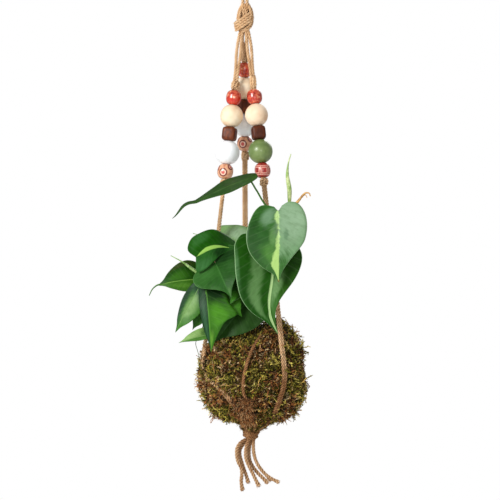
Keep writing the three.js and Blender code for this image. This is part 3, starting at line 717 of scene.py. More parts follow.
def red_stain(leg_name):
    """A red stain sponged over pale wood, fuller low on the bead, with dark specks and a gold craze."""
    red = lacquer("red_bead_" + leg_name, 0.25, 0.5)
    place = red.place()
    worn = red.noise(place, 4.2, 4, 0.7)
    specks = red.noise(place, 1.1, 2, 0.6)
    stain = red.ramp(worn, (0.38, (138, 22, 18)), (0.5, (190, 48, 32)), (0.58, (212, 104, 72)),
                     (0.66, (240, 196, 160)))
    craze = 1 - abs(red.noise(place, 2.4, 2, 0.6) - 0.5).ease(0, 0.03)
    stain = red.mix(craze * 0.5, stain, (206, 142, 70))
    low = (red.axis(place, 2) + worn * 6).ease(*FLUSH_BAND) * LOW_FLUSH[leg_name]
    stain = red.mix(low, stain, (196, 38, 18))
    red.colour(red.mix(specks.ease(0.61, 0.68) * 0.7, stain, (84, 24, 14)))
    red.bump(worn, 0.12, 0.4)
    return red


def bare_wood(leg_name, pink):
    """Bare pale wood, sanded, in broad soft blotches, and as pink as it is told."""
    cream = lacquer("cream_bead_" + leg_name, 0.55, 0.0)
    place = cream.place()
    blotch = cream.noise(place, 16, 2)
    cream.colour(cream.ramp(blotch, (0.34, (228 - pink, 196 - 2 * pink, 160 - 2 * pink)),
                            (0.48, (238, 216 - pink, 182 - pink)), (0.62, (243, 227 - pink, 198 - pink))))
    cream.bump(cream.noise(place, 2, 3), 0.05, 0.3)
    return cream


def brown_stain(leg_name, tones):
    """Dark stained wood with a soft, cloudy grain."""
    brown = Finish("brown_bead_" + leg_name, roughness=0.42, specular_ior_level=0.22)
    grain = brown.noise(brown.vectors("MULTIPLY", brown.place(), (1.4, 1.4, 0.6)), 4, 2)
    brown.colour(brown.mix(grain.ease(0.3, 0.76), *tones))
    brown.bump(grain, 0.08, 0.4)
    return brown


def brushed_paint(leg_name, shade, coat):
    paint = lacquer(shade + "_bead_" + leg_name, 0.4, coat)
    brushed = paint.noise(paint.place(), 12, 3)
    paint.colour(paint.mix(brushed.ease(0.35, 0.65), *PAINTS[shade]))
    paint.bump(brushed, 0.05, 0.3)
    return paint


def tan_rings(ground, place, wood):
    """Tan wood with painted rings, each round a dot on a pale ground."""
    base = ground.ramp(wood, (0.35, (192, 122, 88)), (0.6, (226, 172, 134)))
    for spot, wide in TAN_RINGS:
        middle = tuple(Vector(spot).normalized() * BEADS["patterned"]["width"] / 2)
        away = ground.vectors("DISTANCE", place, middle, 1)
        base = ground.mix(1 - away.ease(wide - 0.5, wide), base, (246, 208, 182))
        base = ground.mix(1 - away.ease(wide * 0.45, wide * 0.45 + 0.5), base, (206, 92, 84))
        base = ground.mix(1 - abs(away - wide).ease(0.45, 0.9), base, (112, 26, 22))
    return base


def rose_panels(ground, place, wood):
    """Red panels round the bead, each in pale double lines."""
    base = ground.ramp(wood, (0.35, (122, 22, 20)), (0.6, (172, 50, 42)))
    turn = ground.axis(place, 1).math("ARCTAN2", ground.axis(place, 0) * -1) * (ROSE_PANELS / math.tau)
    panel = abs((turn + 0.22).math("FRACT") - 0.5) * 7.6
    level = abs(ground.axis(place, 2) * 0.9)
    away = panel.math("MAXIMUM", level) + wood * 0.6
    inner = 1 - abs(away - 2.8).ease(0.2, 0.5)
    outer = (1 - abs(away - 4.2).ease(0.25, 0.6)) * 0.8
    return ground.mix(inner.math("MAXIMUM", outer) * 0.8, base, (236, 180, 160))


def painted_pattern(leg_name, kind):
    ground = lacquer(kind + "_bead_" + leg_name, 0.3, 0.3)
    place = ground.place(bead_seat("patterned", leg_name)[0])
    wood = ground.noise(place, 2.6, 3)
    draw = {"tan": tan_rings, "rose": rose_panels}[kind]
    ground.colour(draw(ground, place, wood))
    ground.bump(wood, 0.06, 0.3)
    return ground


for leg_name in LEGS:
    pink, tones, shade, coat, kind = RIGHT_LEG if leg_name == "right" else OTHER_LEGS
    glaze_bead(red_stain(leg_name), "red", leg_name, "bead_red")
    glaze_bead(bare_wood(leg_name, pink), "cream", leg_name, "bead_cream")
    glaze_bead(brown_stain(leg_name, tones), "brown", leg_name, "bead_brown")
    glaze_bead(brushed_paint(leg_name, shade, coat), "large", leg_name, "bead_" + shade)
    glaze_bead(painted_pattern(leg_name, kind), "patterned", leg_name, "bead_" + kind)

# The soil ball: a moist clay and peat mix, packed round the roots by hand. Only its crown shows, between the
# stems, so it keeps its shape and gets a crumbly finish.
soil = Finish("soil", roughness=0.95, specular_ior_level=0.2)
place = soil.place()
crumbs = soil.noise(place, 2.4, 6, 0.7)
soil.colour(soil.ramp(crumbs, (0.35, (34, 24, 16)), (0.52, (66, 46, 30)), (0.7, (112, 84, 58))))
soil.bump(crumbs, 1.2, 0.9)
soil_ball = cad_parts["soil_ball"]
soil_ball.data.materials.clear()
soil_ball.data.materials.append(soil.material)

# The moss: living sheet moss wrapped green side out round the soil. A felted, lumpy mat carries thousands of
# sprigs 3 to 9 mm long and some longer ones, olive, or rusty brown where they are old, and each painted near
# black towards its root as painted shade among the sprigs. It has grown over the cords low on the ball, and
# over the left leg where that turns in.
MOSS_RADIUS = 50.3
CROWN_RADIUS = 17
MAT_THICKNESS = 6
SPRIGS_PER_PIECE = 5400
SPRIG_KINDS = [(8, 1.2, 0.1), (9, 1.9, 0.12), (7, 0.7, -0.16), (8, 2.5, 0.08)]
SPRIG_LENGTHS = (4, 7.4)
LEAFLET_TURN = 2.4
LEAFLET_LEAN = 0.8
PROUD_SHARE = 0.1
PROUD_LENGTH = 1.6
ON_CORD = 3.2
CORD_LENGTHS = (3.5, 6)
CORD_CLIP = 3
COMBED_LENGTHS = (3, 4.6)
SOIL_RADIUS = 43.4
GATHER = Vector((1, -46, -442))
MOSS_FOOT = -468
FOOT_LENGTH = 3.6
BULGES = [((0.62, -0.2, 0.76), 7), ((0.8, -0.25, -0.56), 5.5), ((1, 0, 0.05), -1.5),
          ((-0.75, -0.3, -0.6), 2.5), ((0.2, -0.36, 0.9), 6)]


def swelling(out):
    """How far the ball bulges past a true ball in one direction."""
    return sum(much * max(0, out.dot(Vector(way).normalized()) * 5 - 4) for way, much in BULGES)


def thicken(bm, depth):
    """Gives an open sheet its thickness, on the side that it faces away from."""
    bmesh.ops.recalc_face_normals(bm, faces=bm.faces)
    bm.normal_update()
    normals = {tuple(vertex.co): vertex.normal.copy() for vertex in bm.verts}
    made = bmesh.ops.extrude_face_region(bm, geom=bm.faces[:], use_keep_orig=True)["geom"]
    for vertex in made:
        if isinstance(vertex, bmesh.types.BMVert):
            vertex.co -= normals[tuple(vertex.co)] * depth
    bmesh.ops.recalc_face_normals(bm, faces=bm.faces)


mat = bmesh.new()
bmesh.ops.create_icosphere(mat, subdivisions=6, radius=1)
for vertex in mat.verts:
    lumps = noise.fractal(vertex.co * 3.2, 0.9, 2, 3) * 1.4 + noise.noise(vertex.co * 24) * 0.5
    drawn_in = max(0, -vertex.co.z - 0.93) / 0.07
    vertex.co *= MOSS_RADIUS + lumps - 0.8 + 5 * drawn_in + swelling(vertex.co)
crown_z = math.sqrt(MOSS_RADIUS ** 2 - CROWN_RADIUS ** 2)
bmesh.ops.bisect_plane(mat, geom=mat.verts[:] + mat.edges[:] + mat.faces[:], plane_co=(0, 0, crown_z),
                       plane_no=(0, 0, 1), clear_outer=True)
thicken(mat, MAT_THICKNESS)
bmesh.ops.translate(mat, vec=BALL, verts=mat.verts)
felt = Finish("moss_felt", roughness=0.9, specular_ior_level=0.1)
threads = felt.node("TexNoise", (), {"Vector": felt.place(), "Scale": 0.9, "Detail": 4, "Distortion": 2.4})
felt.colour(felt.ramp(threads, (0.38, (22, 14, 5)), (0.5, (62, 42, 18)), (0.58, (112, 92, 34)),
                      (0.66, (150, 108, 60))))
felt.bump(threads, 1.4, 1)
piece("moss_mat", mat, felt, "moss", "moss_skin")


def sprig(leaflets, bend, curl):
    """A moss sprig 1 long: a thin stem that curls by bend, set with narrow pointed leaflets."""
    bm = thread(0.07, 0.03, 2)
    for index in range(leaflets):
        up = 0.14 + 0.84 * index / (leaflets - 1)
        size = 0.3 - 0.12 * up
        seat = Matrix.Translation((0, 0, up)) @ Matrix.Rotation(LEAFLET_TURN * index, 4, "Z")
        seat = seat @ Matrix.Rotation(-LEAFLET_LEAN, 4, "Y") @ Matrix.Translation((size / 2, 0, 0))
        blade = Matrix.Diagonal((size / 2, size * 0.29, 1, 1)) @ Matrix.Rotation(math.pi / 4, 4, "Z")
        bmesh.ops.create_grid(bm, x_segments=1, y_segments=1, size=0.7, matrix=seat @ blade)
    for vertex in bm.verts:
        x, y, up = vertex.co
        turned = bend * up
        vertex.co = ((1 - math.cos(turned)) / bend + x * math.cos(turned), y + curl * math.sin(4 * up),
                     math.sin(turned) / bend - x * math.sin(turned))
    return triangles(bm)


def buried(here):
    """Where moss has grown over the cords."""
    return here.z < -458 or (here.x < -20 and -434 < here.z < -385) or (abs(here.x) < 12 and here.z < -441)


def gathered(here):
    """A brown, combed patch on the front, where the binding twine draws the moss down to the knot."""
    around = here - GATHER
    return here.y < -10 and abs(around.x + around.z * 0.12) < 6.5 and -26 < around.z < 0


cords = [point for route in hair_routes for point in route[::2] if (point - BALL).length < CORD_RADIUS + 3]
tree = kdtree.KDTree(len(cords))
for index, point in enumerate(cords):
    tree.insert(point, index)
tree.balance()
random.seed(11)
moss = Finish("moss", roughness=0.85, specular_ior_level=0.1, sheen_weight=0.05)
tint, up = moss.attribute("tint"), moss.attribute("up")
fine = moss.noise(moss.place(), 1.5, 2, 0.6)
tone = moss.ramp(
    tint + fine * 0.12, (0.06, (48, 54, 6)), (0.24, (110, 108, 24)), (0.42, (186, 168, 58)),
    (0.56, (248, 230, 124)), (0.66, (214, 150, 76)), (0.8, (122, 64, 26)), (0.92, (204, 138, 80)),
    (1, (252, 222, 168)),
)
# Painted shade: each sprig and thread darkens to near black towards its root, where they shade one another.
moss.colour(moss.mix(up.ease(0.2, 0.84) * 0.97 + 0.03, (18, 10, 2), tone))
for number, kind in enumerate(SPRIG_KINDS):
    places, tints = [], []
    while len(places) < SPRIGS_PER_PIECE:
        out = jitter().normalized()
        clump = noise.noise(out * 6) * 0.5 + 0.5
        cord, _, away = tree.find(BALL + out * CORD_RADIUS)
        on_cord = away < ON_CORD
        root = BALL + out * (MOSS_RADIUS - 1.2 + swelling(out))
        if random.random() > 0.25 + clump and not buried(root):
            continue
        if out.z * MOSS_RADIUS > crown_z:
            root = BALL + out * SOIL_RADIUS
        length = random.uniform(*SPRIG_LENGTHS) * (0.6 + 0.7 * clump)
        facing = out * random.uniform(0.15, 1.2) + out.cross(jitter()).normalized()
        if random.random() < PROUD_SHARE:
            length *= PROUD_LENGTH
            facing += out
        if on_cord and buried(root):
            root = BALL + out * ((cord - BALL).length + 0.8)
            facing = out * random.uniform(-0.2, 0.3) + out.cross(jitter()).normalized()
            length = random.uniform(*CORD_LENGTHS)
        elif on_cord and random.random() < (0.4 if root.x < -10 else 0.85):
            length = min(length, CORD_CLIP)
        rusty = noise.noise(out * 3.4 + Vector((5, 2, 1))) * 1.6 + random.gauss(0, 0.34)
        tint = random.uniform(0.6, 0.98) if rusty > 0.16 else random.uniform(0.04, 0.58)
        if gathered(root):
            facing = out * random.uniform(0, 0.3) + Vector((random.gauss(0, 0.6), 0, -1))
            tint = random.uniform(0.7, 0.9)
            length = random.uniform(*COMBED_LENGTHS)
        if root.z < MOSS_FOOT:
            length = min(length, FOOT_LENGTH)
        places.append(stand(root, facing, length, length, random.uniform(0, 6)))
        tints.append(tint)
    piece("moss_sprigs_%d" % (number + 1), scatter(sprig(*kind), places, tints), moss, "moss")

# Loose threads of dead moss, thin and brown, that have worked out of the mat and lie over the sprigs. They
# lie thicker in the combed patch, where they run down to the knot.
THREADS = 1900
COMBED = 900
THREAD_LENGTHS = (3, 6.5)
places, tints = [], []
while len(places) < THREADS:
    out = jitter().normalized()
    root = BALL + out * (MOSS_RADIUS + random.uniform(0, 2.4) + swelling(out))
    facing = out * random.uniform(-0.1, 0.4) + out.cross(jitter()).normalized()
    tint = random.uniform(0.66, 0.98)
    if len(places) > THREADS - COMBED:
        if not gathered(root):
            continue
        root = BALL + out * (CORD_RADIUS + random.uniform(-2, 1.2))
        facing = out * random.uniform(-0.1, 0.3) + Vector((random.gauss(0, 0.8), random.gauss(0, 0.3), -1))
        tint = random.uniform(0.74, 0.93)
    length = random.uniform(*THREAD_LENGTHS)
    places.append(stand(root, facing, length, length, random.uniform(0, 6)))
    tints.append(tint)
piece("moss_threads", scatter(fibre(0.032, 0.4), places, tints), moss, "moss")

# The vine's stems: green, faintly ribbed and 3 to 4 mm thick, with swollen joints where leaves grew. They
# stand in the soil and lean out to the left and up to the right.
STEM_RADIUS = 1.8
STEM_TAPER = 0.12
JOINT_SWELL = 0.14
JOINT_TURNS = 34
STEMS = {
    "stem_right": [(13, -6, -391), (13, -6, -374), (16, -10, -352), (26, -14, -316), (36, -17, -286),
                   (43, -18, -260), (44, -18, -253)],
    "stem_left": [(1, -4, -391), (1, -4, -374), (-3, -12, -345), (-7, -19, -318), (-13, -22, -305),
                  (-22, -24, -303), (-30, -25, -307)],
    "stem_low": [(-4, -5, -391), (-4, -5, -383), (-5, -8, -375), (-10, -17, -365), (-20, -26, -356),
                 (-32, -28, -347), (-38, -27, -340), (-38.5, -25.5, -331)],
}
stem = Finish("stem", roughness=0.42, coat_weight=0.1)
ribs = stem.noise(stem.vectors("MULTIPLY", stem.place(), (3, 3, 0.4)), 3, 3)
stem.colour(stem.ramp(ribs, (0.3, (58, 88, 34)), (0.52, (92, 128, 52)), (0.72, (136, 164, 84))))
stem.bump(ribs, 0.2, 0.6)
for name, points in STEMS.items():
    bm = bmesh.new()
    sweep(bm, smooth_route(points, 1.2), circle(STEM_RADIUS, 14), 0,
          lambda share: 1 + JOINT_SWELL * max(0, math.cos(share * JOINT_TURNS)) ** 8 - STEM_TAPER * share)
    piece("vine_" + name, bm, stem, "stem", name)

# The leaves: waxy heart-shaped blades on thin stalks, dark green or lime, each with its own pale streak along
# the midrib and its own splashes, with painted sheen, painted highlights and painted shade laid over some of
# them in patches and in the tone of one half. A blade is cut to its rim, folded at the midrib, arched and
# waved.
RIB = [0, 0, 0.03, 0.14, 0.3, 0.5, 0.71, 0.87, 1]
RIM = [(-0.08, 0.13), (-0.13, 0.38), (-0.1, 0.7), (0.04, 0.93), (0.25, 1), (0.48, 0.87), (0.7, 0.55),
       (0.86, 0.19), (1, 0)]
ROWS_PER_STEP = 7
BLADE_COLUMNS = 10
BLADE_THICKNESS = 0.5
STALK_RADIUS = 0.9
STALK_SINK = 1.3
STALK_SHARE = 0.4
DROOP_FROM = 0.6
FLICK_FROM = 0.68
THIN_RIB = [(0, 0.03), (0.5, 0.025), (1, 0.08)]
PLAIN_LEAF = dict(
    fold=(5, 5), pinch=(0, 0), slant=(0, 0), bow=0, sway=0, arch=3, wave=1, droop=0, flick=0, rims=(RIM, RIM),
    widths=(THIN_RIB, THIN_RIB), feather=0.04, soft=0.025, splashes_and_painted_light=[], veins=0.025, shine=0.18,
)
FAR_LEFT_CURL = [(-91, -29, -338.4), (-94.4, -29, -345)]
LEAVES = {
    "leaf_top_left": dict(
        base=(4, -44, -230), tip=(-72, -46, -267), facing=(-0.4, -0.42, 0.84), half=(17, 16), fold=(0, 0),
        arch=2.5, wave=0.6, flick=2.8,
        rims=[[(-0.1, 0), (-0.1, 0.26), (-0.06, 0.56), (0.04, 0.86), (0.25, 1), (0.45, 0.64), (0.64, 0.28),
            (0.84, 0.19), (1, 0)]] * 2,
        stalk=[(41, -20.4, -262), (33, -28, -263), (20.6, -36, -256), (11, -42, -241)],
        left=(36, 70, 18), right=(46, 82, 26), streak=(66, 104, 42), edge=(44, 78, 28), veins=0.01,
        shine=0.06,
        splashes_and_painted_light=[((0.5, 0.3), (0.5, 0.4), (32, 70, 16), 0.7)],
    ),
    "leaf_front_upper": dict(
        base=(32.6, -50, -262), tip=(33, -62, -331.5), facing=(0, -1, 0.1), half=(32, 28), fold=(4, 8),
        pinch=(0, 0.4), slant=(0.13, 0),
        rims=([(-0.08, 0.13), (-0.13, 0.36), (-0.14, 0.58), (-0.04, 0.8), (0.2, 0.98), (0.46, 0.9),
            (0.7, 0.56), *RIM[7:]], RIM),
        stalk=[(42.6, -20.1, -264), (42, -30, -265), (37, -44, -263)],
        # Painted sheen: the right half's pale grey-green and the grey-green patch high on it. Painted glare:
        # the pale patches on the left lobe.
        left=(46, 96, 32), right=(104, 142, 98), streak=(176, 208, 136), streak_end=(166, 202, 114),
        feather=0.4, soft=0.05, edge=(140, 172, 126), dry_tip=(120, 82, 40),
        widths=([(0, 0.12), (0.08, 0.16), (0.18, 0.05), (0.3, 0.02), (0.46, 0.05), (0.6, 0.18),
            (0.74, 0.42), (0.86, 0.5), (1, 0.5)], [(0, 0.03), (0.5, 0.01), (1, 0.02)]),
        splashes_and_painted_light=[((-0.86, 0.4), (0.3, 0.42), (32, 76, 24), 0.95),
            ((-0.5, 0.34), (0.3, 0.2), (36, 84, 28), 0.8),
            ((-0.42, 0.08), (0.3, 0.17), (108, 144, 108), 0.9),
            ((-0.18, 0.38), (0.14, 0.16), (104, 150, 84), 0.6),
            ((-0.3, 0.62), (0.32, 0.18), (76, 130, 50), 0.8),
            ((0.5, 0.12), (0.75, 0.45), (128, 158, 124), 0.9),
            ((0.27, 0.34), (0.12, 0.1), (74, 112, 76), 0.6), ((0.5, 0.84), (0.9, 0.3), (44, 96, 28), 0.95)],
    ),
    "leaf_front_lower": dict(
        base=(17, -42, -292), tip=(32.6, -56, -382), facing=(0.05, -1, 0.15), half=(37, 30), fold=(6, 8),
        bow=0.6, sway=5, arch=4,
        rims=([(-0.08, 0.13), (-0.12, 0.34), (-0.08, 0.56), (0.03, 0.8), (0.27, 1), (0.5, 0.87),
            (0.71, 0.53), (0.86, 0.16), (1, 0)], [*RIM[:3], (0.02, 0.93), (0.22, 1.02), (0.45, 0.78),
            (0.66, 0.33), (0.8, 0.15), (1, 0)]),
        stalk=[(16.5, -13, -350), (14, -24, -335), (13, -32, -312), (15, -38, -299)],
        # Painted highlight: the pale grey-green band down the left half.
        left=(30, 76, 14), right=(36, 80, 12), streak=(160, 192, 130), edge=(140, 176, 126), shine=0.04,
        widths=([(0, 0.03), (0.4, 0.03), (0.75, 0.07), (0.9, 0.3), (1, 0.4)], [(0, 0.03), (0.4, 0.03),
            (0.8, 0.1), (1, 0.3)]),
        splashes_and_painted_light=[((-0.94, 0.3), (0.08, 0.3), (88, 130, 84), 0.5),
            ((-0.8, 0.55), (0.24, 0.4), (28, 70, 18), 0.8), ((-0.4, 0.26), (0.2, 0.3), (98, 138, 82), 0.7),
            ((-0.54, 0.6), (0.24, 0.3), (102, 142, 86), 0.7),
            ((0.26, 0.52), (0.3, 0.24), (106, 144, 90), 0.9), ((0.7, 0.25), (0.5, 0.35), (30, 66, 16), 0.8),
            ((0.6, 0.74), (0.5, 0.18), (66, 112, 52), 0.7)],
    ),
    "leaf_left_upper": dict(
        base=(-9, -27, -299), tip=(-48, -43, -307), facing=(-0.2, -0.95, 0.4), half=(20, 14),
        fold=(-5, -28), bow=-3.4, arch=4,
        rims=([(-0.06, 0.13), (-0.13, 0.36), (-0.01, 0.68), (0.16, 0.94), (0.44, 1.14), (0.72, 1.12),
            (0.96, 1), (1.1, 0.58), (1, 0)], [(0, 0.05), (0.08, 0.14), (0.18, 0.26), (0.3, 0.4),
            (0.44, 0.58), (0.6, 0.88), (0.82, 1.16), (1.04, 0.95), (1, 0)]),
        stalk=[(-11, -24.6, -305.5), (-8, -25, -302)],
        # Painted highlight: the lighter patches near the tip.
        left=(26, 80, 8), right=(40, 94, 32), streak=(146, 190, 88), feather=0.05, shine=0.07,
        edge=(60, 104, 40), veins=0.015,
        widths=([(0, 0.02), (0.18, 0.03), (0.34, 0.1), (0.52, 0.17), (0.72, 0.2), (0.9, 0.14), (1, 0.04)],
            [(0, 0.01), (1, 0.02)]),
        splashes_and_painted_light=[((-0.75, 0.75), (0.3, 0.3), (54, 108, 48), 0.8),
            ((-0.6, 0.25), (0.4, 0.3), (26, 70, 12), 0.7), ((0.4, 0.4), (0.7, 0.24), (22, 58, 20), 0.9),
            ((0.7, 0.85), (0.4, 0.3), (60, 112, 58), 0.7)],
    ),
    "leaf_behind": dict(
        base=(-13, -8, -291), tip=(28, -13, -303), facing=(0, -0.8, 0.6), half=(17, 19), droop=2,
        rims=[[(-0.16, 0.1), (-0.36, 0.36), (-0.44, 0.66), (-0.28, 0.92), (0.06, 1), (0.4, 0.9),
            (0.66, 0.6), (0.85, 0.2), (1, 0)]] * 2,
        stalk=[(-4, -14.5, -326), (-12, -11, -306)],
        left=(126, 172, 92), right=(130, 172, 108), streak=(164, 196, 134), edge=(96, 140, 80),
        splashes_and_painted_light=[((-0.8, 0.3), (0.3, 0.6), (144, 186, 76), 0.8),
            ((0.5, 0.1), (0.5, 0.4), (156, 184, 150), 0.8)],
    ),
    "leaf_centre_left": dict(
        base=(-28, -38, -315), tip=(-13.5, -58.5, -346), facing=(-0.4, -0.6, 0.8), half=(27, 24),
        pinch=(0.6, 0.3), droop=2,
        rims=([(-0.24, 0.03), (-0.26, 0.3), *RIM[2:]], [(-0.34, 0.06), (-0.42, 0.34), (-0.42, 0.72),
            (-0.28, 1.04), (0.05, 1.18), (0.38, 0.94), (0.68, 0.5), *RIM[7:]]),
        stalk=[(-28, -27.5, -308), (-28.5, -32, -311)],
        # Painted shadow: the near black green patch at the base, in the shade of the leaf above.
        left=(42, 90, 30), right=(36, 80, 26), streak=(54, 102, 42), edge=(92, 138, 76), shine=0.1,
        veins=0.015,
        splashes_and_painted_light=[((-0.6, 0.1), (0.6, 0.3), (58, 108, 46), 0.7), ((-0.3, 0.6), (0.4, 0.3), (34, 80, 26), 0.7),
            ((0.35, -0.12), (0.8, 0.22), (18, 52, 14), 0.95), ((0.3, 0.9), (0.6, 0.2), (92, 134, 76), 0.5)],
    ),
    "leaf_far_left": dict(
        base=(-45, -20, -329), tip=(-86, -28, -334.5), facing=(-0.15, -0.95, 0.3), half=(20, 12),
        fold=(5, 0), droop=2,
        stalk=[(-38, -23.8, -338.5), (-39, -21, -332)],
        left=(28, 72, 8), right=(54, 100, 22), streak=(108, 150, 64), shine=0.1, edge=(90, 96, 46),
        dry_tip=(130, 140, 100),
        splashes_and_painted_light=[((-0.3, 0.5), (0.35, 0.3), (52, 102, 22), 0.8),
            ((-0.85, 0.35), (0.16, 0.4), (62, 64, 30), 0.6),
            ((0.45, 0.45), (0.3, 0.3), (78, 126, 38), 0.7)],
    ),
    "leaf_low_left": dict(
        base=(-46, -30, -338), tip=(-69, -33, -381), facing=(-0.2, -0.95, 0.1), half=(9, 15), fold=(8, 2),
        arch=1, droop=2,
        stalk=[(-39.6, -29, -340.2), (-43, -31, -339.5)],
        # Painted highlight: the pale band down the middle.
        left=(50, 100, 38), right=(58, 112, 30), streak=(110, 152, 80), feather=0.1,
        splashes_and_painted_light=[((0.1, 0.42), (0.6, 0.4), (122, 160, 92), 0.85),
            ((0.8, 0.12), (0.6, 0.24), (48, 92, 48), 0.8), ((-0.9, 0.3), (0.5, 0.7), (30, 62, 38), 0.95),
            ((0.3, 0.75), (0.5, 0.2), (62, 118, 38), 0.7), ((0, 0), (0.9, 0.16), (32, 70, 42), 0.9)],
    ),
    "leaf_lime_drop": dict(
        base=(-38, -43, -339), tip=(-33, -50, -400), facing=(0.1, -1, 0), half=(9, 20), fold=(-30, 4),
        arch=4,
        rims=(RIM, [*RIM[:3], (0.04, 0.9), (0.24, 1.06), (0.42, 1.42), (0.54, 0.78), (0.78, 0.3), (1, 0)]),
        stalk=[(-31.5, -30.8, -347.4), (-33.5, -37, -344.5)],
        # Painted shadow: the near black green across the top, in the shade of the leaf above. Painted
        # highlight: the lighter grey-green patch on the dark half.
        left=(28, 62, 34), right=(52, 106, 20), streak=(76, 130, 40), feather=0.05, shine=0.1,
        splashes_and_painted_light=[((0.5, 0), (0.95, 0.3), (12, 44, 8), 1), ((-0.5, 0.5), (0.3, 0.4), (48, 86, 56), 0.8),
            ((0.4, 0.42), (0.4, 0.24), (74, 138, 30), 0.8), ((0.9, 0.66), (0.3, 0.3), (40, 92, 18), 0.6),
            ((0.15, 0.85), (0.3, 0.2), (104, 152, 54), 0.7)],
    ),
    "leaf_lime_side": dict(
        base=(-26, -32.5, -348), tip=(-3, -44, -364.5), facing=(0.1, -0.9, 0.4), half=(10, 18), droop=2,
        stalk=[(-26.5, -29.8, -350.5), (-26.5, -31.4, -349.5)],
        left=(50, 106, 22), right=(60, 118, 26), streak=(72, 130, 36),
        splashes_and_painted_light=[((0, 0.1), (1, 0.3), (70, 134, 30), 0.8), ((-0.5, 0.5), (0.4, 0.3), (42, 94, 20), 0.6)],
    ),
    "leaf_low_dark": dict(
        base=(7, -27, -346), tip=(-29, -38, -390), facing=(0, -0.9, 0.35), half=(17, 25),
        stalk=[(14.5, -12, -356), (11, -22, -350)],
        left=(38, 74, 26), right=(34, 66, 20), streak=(48, 82, 38), edge=(60, 92, 50), veins=0.01,
        shine=0.08,
    ),
    "leaf_low_side": dict(
        base=(-33, -31, -383), tip=(-65, -36, -391), facing=(-0.1, -0.95, 0.3), half=(8, 4), arch=2,
        droop=1,
        stalk=[(-22, -28.5, -357), (-27, -31, -370)],
        # Painted highlight: the pale left half and the pale patch on it.
        left=(122, 160, 84), right=(76, 124, 46), streak=(138, 174, 104),
        splashes_and_painted_light=[((-0.5, 0.6), (0.5, 0.3), (146, 180, 110), 0.7),
            ((-0.3, 0.1), (0.6, 0.22), (56, 102, 42), 0.8)],
    ),
    "leaf_low_back": dict(
        base=(-39, -24, -354), tip=(-52, -26, -379), facing=(-0.1, -1, 0), half=(7, 9), arch=2, droop=1,
        stalk=[(-35, -25.7, -346.5)],
        left=(44, 90, 28), right=(54, 104, 34), streak=(60, 104, 44), veins=0.01, shine=0.1,
        edge=(84, 128, 62),
    ),
    "leaf_centre_back": dict(
        base=(1, -33, -328), tip=(-15, -45, -354), facing=(-0.2, -0.95, 0.2), half=(11, 10), arch=2,
        stalk=[(-4.8, -18.1, -332), (0, -26, -330)],
        left=(24, 62, 10), right=(28, 68, 12), streak=(62, 106, 34), shine=0.08, edge=(100, 148, 80),
        splashes_and_painted_light=[((0, 0.8), (0.9, 0.3), (62, 128, 30), 0.8)],
    ),
}


def past(s, start):
    """0 up to start, then rising to 1 at the tip."""
    return max(0, s - start) / (1 - start)


def leaf_point(leaf, s, d):
    """One point of the blade: s along the midrib, d of the half width to the side, left below 0."""
    base, along = Vector(leaf["base"]), Vector(leaf["tip"]) - Vector(leaf["base"])
    length = along.length
    along.normalize()
    out = Vector(leaf["facing"])
    out = (out - along * out.dot(along)).normalized()
    bows = math.sin(math.pi * s), math.sin(2 * math.pi * s)
    side = 0 if d < 0 else 1
    ease = min(1, max(0, (s - 0.4) / 0.45))
    reach = abs(d) * leaf["half"][side] * (1 - leaf["pinch"][side] * ease * ease * (3 - 2 * ease))
    fold = math.radians(leaf["fold"][side])
    sign = math.copysign(1, d) if d else 0
    raised = (leaf["arch"] * bows[0] + reach * math.sin(fold)
              + leaf["wave"] * d * d * math.sin(9 * s + sign) - leaf["droop"] * past(s, DROOP_FROM) ** 2
              + leaf["flick"] * math.sin(1.5 * math.pi * past(s, FLICK_FROM)))
    aside = sign * reach * math.cos(fold) + leaf["bow"] * bows[0] + leaf["sway"] * bows[1]
    return base + along * s * length + out.cross(along) * aside + out * raised


